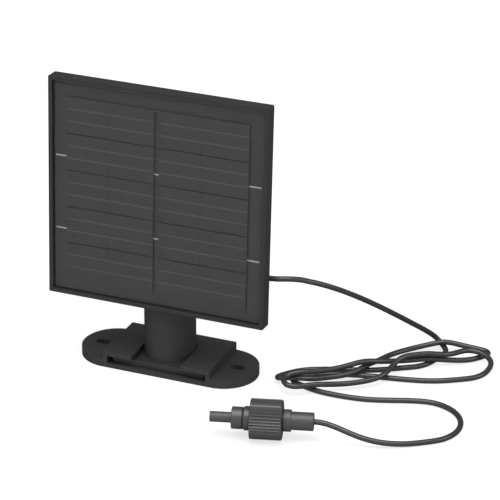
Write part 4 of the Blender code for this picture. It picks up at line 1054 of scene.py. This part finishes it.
def centreline(node, seed):
    """The middle points of a facetted CAD wire, ring by ring from the end nearest the seed."""
    shape = bmesh.new()
    shape.from_mesh(frame["nodes"][node].data)
    bmesh.ops.remove_doubles(shape, verts=shape.verts, dist=0.001 * MM)
    end = min(shape.verts, key=lambda v: (v.co - seed).length)
    ring = {v for v in shape.verts if (v.co - end.co).length < 2.1 * CABLE_RADIUS}
    seen = set(ring)
    middles = []
    while ring:
        middles.append(sum((v.co for v in ring), Vector()) / len(ring))
        reached = {edge.other_vert(v) for v in ring for edge in v.link_edges} - seen
        seen |= reached
        ring = reached
    shape.free()
    return middles


def smooth_path(points, step):
    """Points about step apart on a Catmull-Rom curve through the given ones."""
    ends = [2 * points[0] - points[1]] + points + [2 * points[-1] - points[-2]]
    path = []
    for before, a, b, after in zip(ends, ends[1:], ends[2:], ends[3:]):
        count = max(1, round((b - a).length / step))
        for i in range(count):
            t = i / count
            path.append(0.5 * (2 * a + (b - before) * t
                               + (2 * before - 5 * a + 4 * b - after) * t ** 2
                               + (3 * a - before - 3 * b + after) * t ** 3))
    return path + [points[-1]]


def tube_rings(path, radius, sides=20):
    """Rings square to a path, carried along it without twist."""
    rings = []
    side = None
    for i, here in enumerate(path):
        ahead = path[min(i + 1, len(path) - 1)] - path[max(i - 1, 0)]
        ahead.normalize()
        if side is None:
            side = ahead.orthogonal().normalized()
        side = (side - ahead * side.dot(ahead)).normalized()
        other = ahead.cross(side)
        rings.append([here + radius * (math.cos(a) * side + math.sin(a) * other)
                      for a in (math.tau * k / sides for k in range(sides))])
    return rings


def make_cable():
    """The lead as three pieces, at the panel, in the air and where it lands, and the coil on the
    ground.
    """
    box_end = (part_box("cable_gland")[0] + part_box("cable_gland")[1]) / 2
    plug_end = (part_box("strain_relief")[0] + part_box("strain_relief")[1]) / 2
    lead = centreline("cable_lead", box_end)
    coil = centreline("cable_coil", plug_end)[::-1]
    # The lead's last two rings only square its end; the coil's first one takes their place.
    path = smooth_path(lead[:-2] + coil, CABLE_POINT_STEP)
    path = [Vector((p.x, p.y, max(p.z, CABLE_RADIUS))) for p in path]
    rings = tube_rings(path, CABLE_RADIUS)
    touch = min(range(len(path)), key=lambda i: (path[i] - lead[-1]).length)
    # The lead leaves the box, hangs free and lands; it is cut into one part for each.
    hangs = next(i for i, p in enumerate(path) if p.x > path[0].x + LEAD_HANGS_AFTER)
    low_enough = LEAD_LANDS_BELOW * path[0].z
    lands = next(i for i, p in enumerate(path) if i > hangs and p.z < low_enough)
    spans = (("lead_at_panel", 0, hangs, "panel", "head"),
             ("lead_span", hangs, lands, "head", "post"),
             ("lead_landing", lands, touch, "post", "base"))
    first = None
    for name, start, end, body, parent in spans:
        piece = loft(name, rings[start:end + 1], sharp=60)
        piece.data.materials.append(FINISHES["sheath"])
        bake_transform(piece)
        first = first or piece
    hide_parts("cable_lead")
    spool = loft("coil", rings[touch:], sharp=60)
    dress(spool, "sheath", "base", "cable_sheath", "cable_coil")


# ---- stage ----


def make_floor():
    """Plain pale floor, wide enough to fill the view."""
    shape = bmesh.new()
    bmesh.ops.create_grid(shape, x_segments=1, y_segments=1, size=FLOOR_REACH)
    floor = object_from("floor", shape)
    finish = Finish("floor_look", 0.9, specular=0.1)
    tone = finish.noise(0.4, 2)
    finish.colour(finish.mixed(tone, grey(0.88), grey(0.9)))
    # A lit floor: seen straight, part of its brightness is its own, so shadows stay faint.
    glow = finish.nodes.new("ShaderNodeEmission")
    glow.inputs["Color"].default_value = (1, 1, 1, 1)
    seen = finish.nodes.new("ShaderNodeLightPath").outputs["Is Camera Ray"]
    finish.surface(finish.math("MULTIPLY", seen, FLOOR_GLOW), finish.shader.outputs["BSDF"],
                   glow.outputs["Emission"])
    floor.data.materials.append(finish.made)
    floor.visible_glossy = False


def softbox(name, place, size, power):
    """A rectangular area light that faces the object."""
    light = bpy.data.lights.new(name, "AREA")
    light.shape = "RECTANGLE"
    light.size, light.size_y = size
    light.energy = power
    holder = linked(name, light)
    holder.location = place
    holder.rotation_mode = "QUATERNION"
    holder.rotation_quaternion = (Vector(LIGHTS_TARGET) - Vector(place)).to_track_quat("-Z", "Y")


def make_world():
    """Soft light from above, whose reflection is pale in front and overhead and dark behind."""
    world = bpy.data.worlds.new("studio")
    world.use_nodes = True
    nodes, links = world.node_tree.nodes, world.node_tree.links
    direction = nodes.new("ShaderNodeTexCoord").outputs["Generated"]

    def gradient(towards, start, end, strengths):
        """Strength that rises as a direction turns towards another."""
        dot = nodes.new("ShaderNodeVectorMath")
        dot.operation = "DOT_PRODUCT"
        dot.inputs[1].default_value = towards
        links.new(direction, dot.inputs[0])
        rise = nodes.new("ShaderNodeMapRange")
        names = ("From Min", "From Max", "To Min", "To Max")
        for name, value in zip(names, (start, end, *strengths)):
            rise.inputs[name].default_value = value
        links.new(dot.outputs["Value"], rise.inputs["Value"])
        return rise.outputs["Result"]

    strength = nodes.new("ShaderNodeMix")
    links.new(nodes.new("ShaderNodeLightPath").outputs["Is Glossy Ray"], strength.inputs["Factor"])
    links.new(gradient((0, 0, 1), -1, 1, WORLD_LIGHT), strength.inputs["A"])
    links.new(gradient((0, -1, 0.3), -0.2, 0.9, WORLD_GLOSS), strength.inputs["B"])
    background = nodes["Background"]
    background.inputs["Color"].default_value = (1, 1, 1, 1)
    links.new(strength.outputs["Result"], background.inputs["Strength"])
    bpy.context.scene.world = world


def make_lights():
    make_world()
    for name, (place, size, power) in SOFTBOXES.items():
        softbox(name, place, size, power)


def make_camera():
    """The viewpoint: a long lens in front, to the right and above."""
    level = CAMERA_DISTANCE * math.cos(CAMERA_ELEVATION)
    rise = CAMERA_DISTANCE * math.sin(CAMERA_ELEVATION)
    eye = CAMERA_TARGET + Vector((level * math.sin(CAMERA_AZIMUTH),
                                  -level * math.cos(CAMERA_AZIMUTH), rise))
    data = bpy.data.cameras.new("camera")
    data.lens = CAMERA_LENS
    data.sensor_width = SENSOR_WIDTH
    data.clip_start = 0.05
    data.clip_end = 20
    camera = linked("camera", data)
    camera.location = eye
    camera.rotation_mode = "QUATERNION"
    aim = (CAMERA_TARGET - eye).to_track_quat("-Z", "Y")
    camera.rotation_quaternion = aim @ Matrix.Rotation(CAMERA_ROLL, 3, "Z").to_quaternion()
    bpy.context.scene.camera = camera
    bpy.context.scene.view_settings.view_transform = "Standard"


# ---- whole object ----

keep_cad_nodes()
make_foot()
make_post()
make_head()
make_bracket()
make_knob()
make_bolt()
for screw_name in ("bracket_screw", "cover_screw", "lid_screw"):
    make_screws(screw_name, 4)
make_cells()
make_link_tab()
make_gland()
make_lock_nut()
make_barrel()
make_seal()
make_sleeve()
make_relief()
make_cable()
make_floor()
make_lights()
make_camera()
